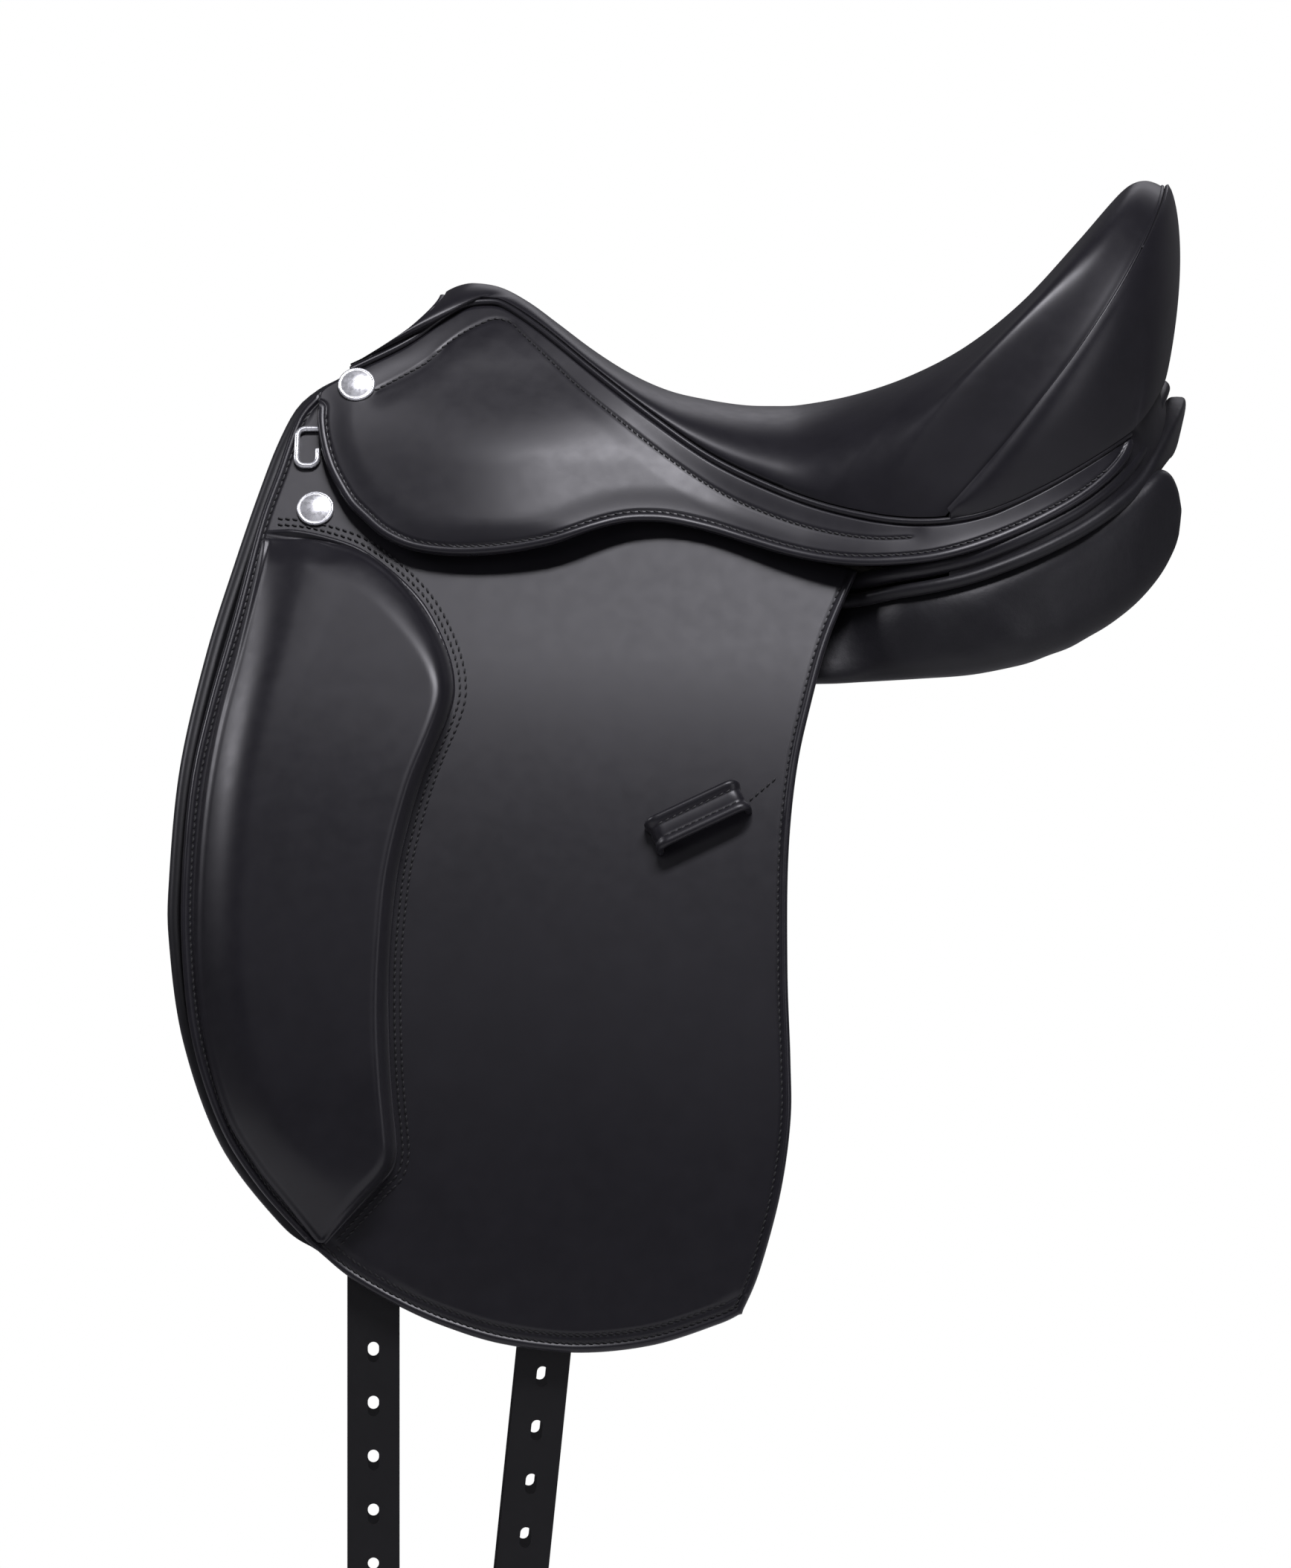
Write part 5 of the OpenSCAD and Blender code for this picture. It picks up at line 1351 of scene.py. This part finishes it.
@dataclass
class RearRolls:
    """Cantle roll and panel band round the rear, with sewing between them."""

    finishes: Finishes

    def build(self) -> None:
        """Builds both rolls and the sewn row under the upper one."""
        form = self.horseshoe(ROLL_LINE, 4.6, None)
        roll = make("rear_roll_leather", form, self.finishes.seat, 70)
        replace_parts(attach(roll, "saddle"), "cantle_roll")
        form = self.horseshoe(BAND_LINE, 3.7, BAND_TALL)
        band = make("rear_band_leather", form, self.finishes.panel, 70)
        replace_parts(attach(band, "saddle"), "panel_band")
        path = Curve(self.both(ROLL_LINE)).spaced(4.0, 0.02, 0.98)
        t = unit(np.gradient(path, axis=0))
        out = unit(np.cross(t, [0.0, 0.0, 1.0]))
        way = unit(0.75 * out - 0.65 * np.cross(out, t))
        way = np.where(way[:, 2:] > 0, way * [1, 1, -1], way)
        form = StitchRow(3.0, 0.5).form(path + 4.45 * way, way)
        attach(make("rear_roll_stitches", form, self.finishes.thread), "saddle")

    @staticmethod
    def both(line: Points) -> Array:
        """Full horseshoe of a line given for one side."""
        p = np.asarray(line, float)
        return np.concatenate([p, p[-2::-1] * [1, -1, 1]])

    def horseshoe(self, line: Points, thick: float, tall: Points | None) -> Form:
        """Roll carried along the horseshoe, taller at the rear where a height line is given.

        Where it is tall its section is squarer, leans and is thicker towards the inside.

        Args:
            line: Middle line of one side.
            thick: Half thickness.
            tall: Share of the half thickness that is the half height, by place along the line.

        Returns:
            The closed form.
        """
        p = self.both(line)
        s = np.linspace(0, len(p) - 1, 24 * 14 + 1)
        mid = along(p, s)
        t = unit(np.gradient(mid, axis=0))
        u = unit(np.cross(t, [0.0, 0.0, 1.0]))
        v = np.cross(u, t)
        h = np.full(len(s), thick) if tall is None else thick * rise(tall, np.minimum(s, len(p) - 1 - s))
        a = -np.linspace(0, 2 * np.pi, 32, endpoint=False)[None]
        fat = ease((h / thick - 1) / 2.4)[:, None]
        power = 1 - 0.5 * fat
        c, e = (np.sign(f) * np.abs(f) ** power for f in (np.cos(a), np.sin(a)))
        inward = thick * c + 2.8 * fat * (1 + c) - 0.3 * (h - thick)[:, None] * e
        rings = mid[:, None] + inward[..., None] * u[:, None] + (h[:, None] * e)[..., None] * v[:, None]
        return tube(rings)


@dataclass
class Fittings:
    """Nail heads, and the finishes of the pieces that keep their solids."""

    walls: dict[Side, SideWall]
    finishes: Finishes

    def build(self) -> None:
        """Dresses the solids that keep their shape and builds the nail heads."""
        plain = {"tree_frame": self.finishes.ply, "cantle_board": self.finishes.board,
                 "head_plate": self.finishes.steel, "head_rivets": self.finishes.steel,
                 "bar_rivets": self.finishes.steel, "girth_webs": self.finishes.web}
        for side in Side:
            plain[f"stirrup_bar_{side.value}"] = self.finishes.forged
            plain[f"stirrup_catch_{side.value}"] = self.finishes.forged
            plain[f"dee_ring_{side.value}"] = self.finishes.bright
            for place in ("front", "rear"):
                plain[f"{place}_billet_{side.value}"] = self.finishes.strap
            plain[f"dee_chape_{side.value}"] = self.finishes.strap
        for name, finish in plain.items():
            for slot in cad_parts[name].material_slots:
                slot.material = finish
        self.nails("skirt_nails", "skirt_nail_heads")
        self.nails("flap_nails", "flap_nail_heads")

    def nails(self, node: str, name: str) -> None:
        """Domed heads with a thin raised rim, turned about the outward direction of the wall.

        The profile rises from the rim's foot over a rounded rim, dips, and then follows a flat dome.

        Args:
            node: Solid that the heads stand for.
            name: Name of the piece.
        """
        low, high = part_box(node)
        spot, o, tilt = NAILS[node]
        xz, tilt = np.array(spot), math.radians(tilt)
        r, h = np.array(NAIL_PROFILE).T[..., None]
        a = np.linspace(0, 2 * np.pi, 64, endpoint=False)
        forms = []
        for side, wall in self.walls.items():
            n = wall.outward(xz)
            up = np.array([0.0, -side.sign * n[2], abs(n[1])])
            n = unit(n * math.cos(tilt) + up * math.sin(tilt))
            u = unit(np.cross([0.0, 0.0, 1.0], n))
            v = np.cross(n, u)
            origin = wall.place(xz, 0.0) + (o + 0.4) * n
            flat = (r * np.cos(a))[..., None] * u + (r * np.sin(a))[..., None] * v
            forms.append(tube(origin + flat + h[..., None] * n))
        piece = make(name, joined(forms), self.finishes.bright, 70)
        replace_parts(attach(piece, "saddle"), node)
        LOG.info("%s stands in %s to %s", name, tuple(low), tuple(high))


@dataclass(frozen=True)
class Studio:
    """Pale floor, soft lights and the camera at the photograph's angle, in metres and watts."""

    distance: float = 32.76
    lens: float = 1400.0
    middle: tuple[float, float] = (-0.0528, -0.1216)
    turn: float = math.radians(-0.26)
    floor_half: float = 5.0
    floor_z: float = -0.7
    fill_power: float = 0.028
    fill_colour: Colour = (0.95, 0.94, 1)
    lamp_colour: Colour = (0.945, 0.93, 1.0)

    def build(self) -> None:
        """Sets the stage."""
        self.floor()
        self.world()
        self.soft_box("front_top", (0.32, -1.3, 2.2), (0.0, -0.15, 0.02), 1.5, 0.42, 56.0)
        self.soft_box("left_side", (-2.0, -0.1, 1.15), (-0.28, -0.2, -0.05), 0.6, 0.5, 11.0)
        self.soft_box("rear_edge", (0.6, 2.2, 1.4), (0.0, 0.0, 0.0), 1.6, 1.0, 5.0)
        self.soft_box("front_card", (-0.5, -2.4, 0.9), (-0.2, 0.0, 0.0), 1.2, 1.0, 1.6)
        self.soft_box("rear_card", (1.9, -1.3, 0.35), (0.2, -0.05, 0.1), 0.9, 0.9, 4.0)
        self.camera()

    def floor(self) -> None:
        """Plain pale floor below the straps."""
        mesh = bpy.data.meshes.new("floor")
        s, z = self.floor_half, self.floor_z
        mesh.from_pydata([(-s, -s, z), (s, -s, z), (s, s, z), (-s, s, z)], [], [(0, 1, 2, 3)])
        n = Nodes("pale_floor")
        n.put("Base Color", n.blend(n.noise(3.0), (0.78, 0.78, 0.78), (0.82, 0.82, 0.82)))
        n.put("Roughness", 0.7)
        mesh.materials.append(n.material)
        floor = placed("floor", mesh)

    def world(self) -> None:
        """White surroundings for the eye and a dim soft fill for the object."""
        world = bpy.data.worlds.new("studio")
        bpy.context.scene.world = world
        world.use_nodes = True
        tree = world.node_tree
        tree.nodes.clear()
        seen, fill = tree.nodes.new("ShaderNodeBackground"), tree.nodes.new("ShaderNodeBackground")
        seen.inputs["Color"].default_value = (1, 1, 1, 1)
        fill.inputs["Color"].default_value = (*self.fill_colour, 1)
        fill.inputs["Strength"].default_value = self.fill_power
        path, mix = tree.nodes.new("ShaderNodeLightPath"), tree.nodes.new("ShaderNodeMixShader")
        out = tree.nodes.new("ShaderNodeOutputWorld")
        tree.links.new(path.outputs["Is Camera Ray"], mix.inputs[0])
        tree.links.new(fill.outputs[0], mix.inputs[1])
        tree.links.new(seen.outputs[0], mix.inputs[2])
        tree.links.new(mix.outputs[0], out.inputs["Surface"])

    def soft_box(self, name: str, place: Sequence[float], aim: Sequence[float], wide: float,
                 tall: float, power: float) -> None:
        """Soft box at a place, turned to a point."""
        lamp = bpy.data.lights.new(name, "AREA")
        lamp.shape, lamp.size, lamp.size_y, lamp.energy = "RECTANGLE", wide, tall, power
        lamp.color = self.lamp_colour
        box = placed(name, lamp)
        box.location = place
        box.rotation_euler = (Vector(aim) - Vector(place)).to_track_quat("-Z", "Y").to_euler()

    def camera(self) -> None:
        """Long-lens camera, very nearly square to the near side."""
        data = bpy.data.cameras.new("photo")
        data.lens, data.sensor_width, data.sensor_fit = self.lens, 36.0, "AUTO"
        data.clip_end = 100.0
        data.dof.use_dof = False
        eye = placed("photo", data)
        eye.location = (self.middle[0] + self.distance * math.sin(self.turn),
                        -self.distance * math.cos(self.turn), self.middle[1])
        eye.rotation_euler = (math.pi / 2, 0.0, self.turn)
        bpy.context.scene.camera = eye


def main() -> None:
    """Builds the saddle's classes in order."""
    logging.basicConfig(level=logging.INFO, format="%(name)s: %(message)s")
    bpy.context.scene.view_settings.view_transform = "Standard"
    finishes = Finishes.build()
    walls = {side: SideWall(side) for side in Side}
    middle = SeatForm(walls[Side.RIGHT])
    Seat(middle, finishes).build()
    PommelFront(middle, finishes).build()
    RearRolls(finishes).build()
    for side, wall in walls.items():
        LOG.info("building the %s side", side.value)
        Skirt(SeatForm(wall), finishes).build()
        Flap(wall, finishes).build()
        SweatFlap(wall, finishes).build()
        Panel(wall, finishes).build()
    Fittings(walls, finishes).build()
    Studio().build()


if __name__ == "__main__":
    main()
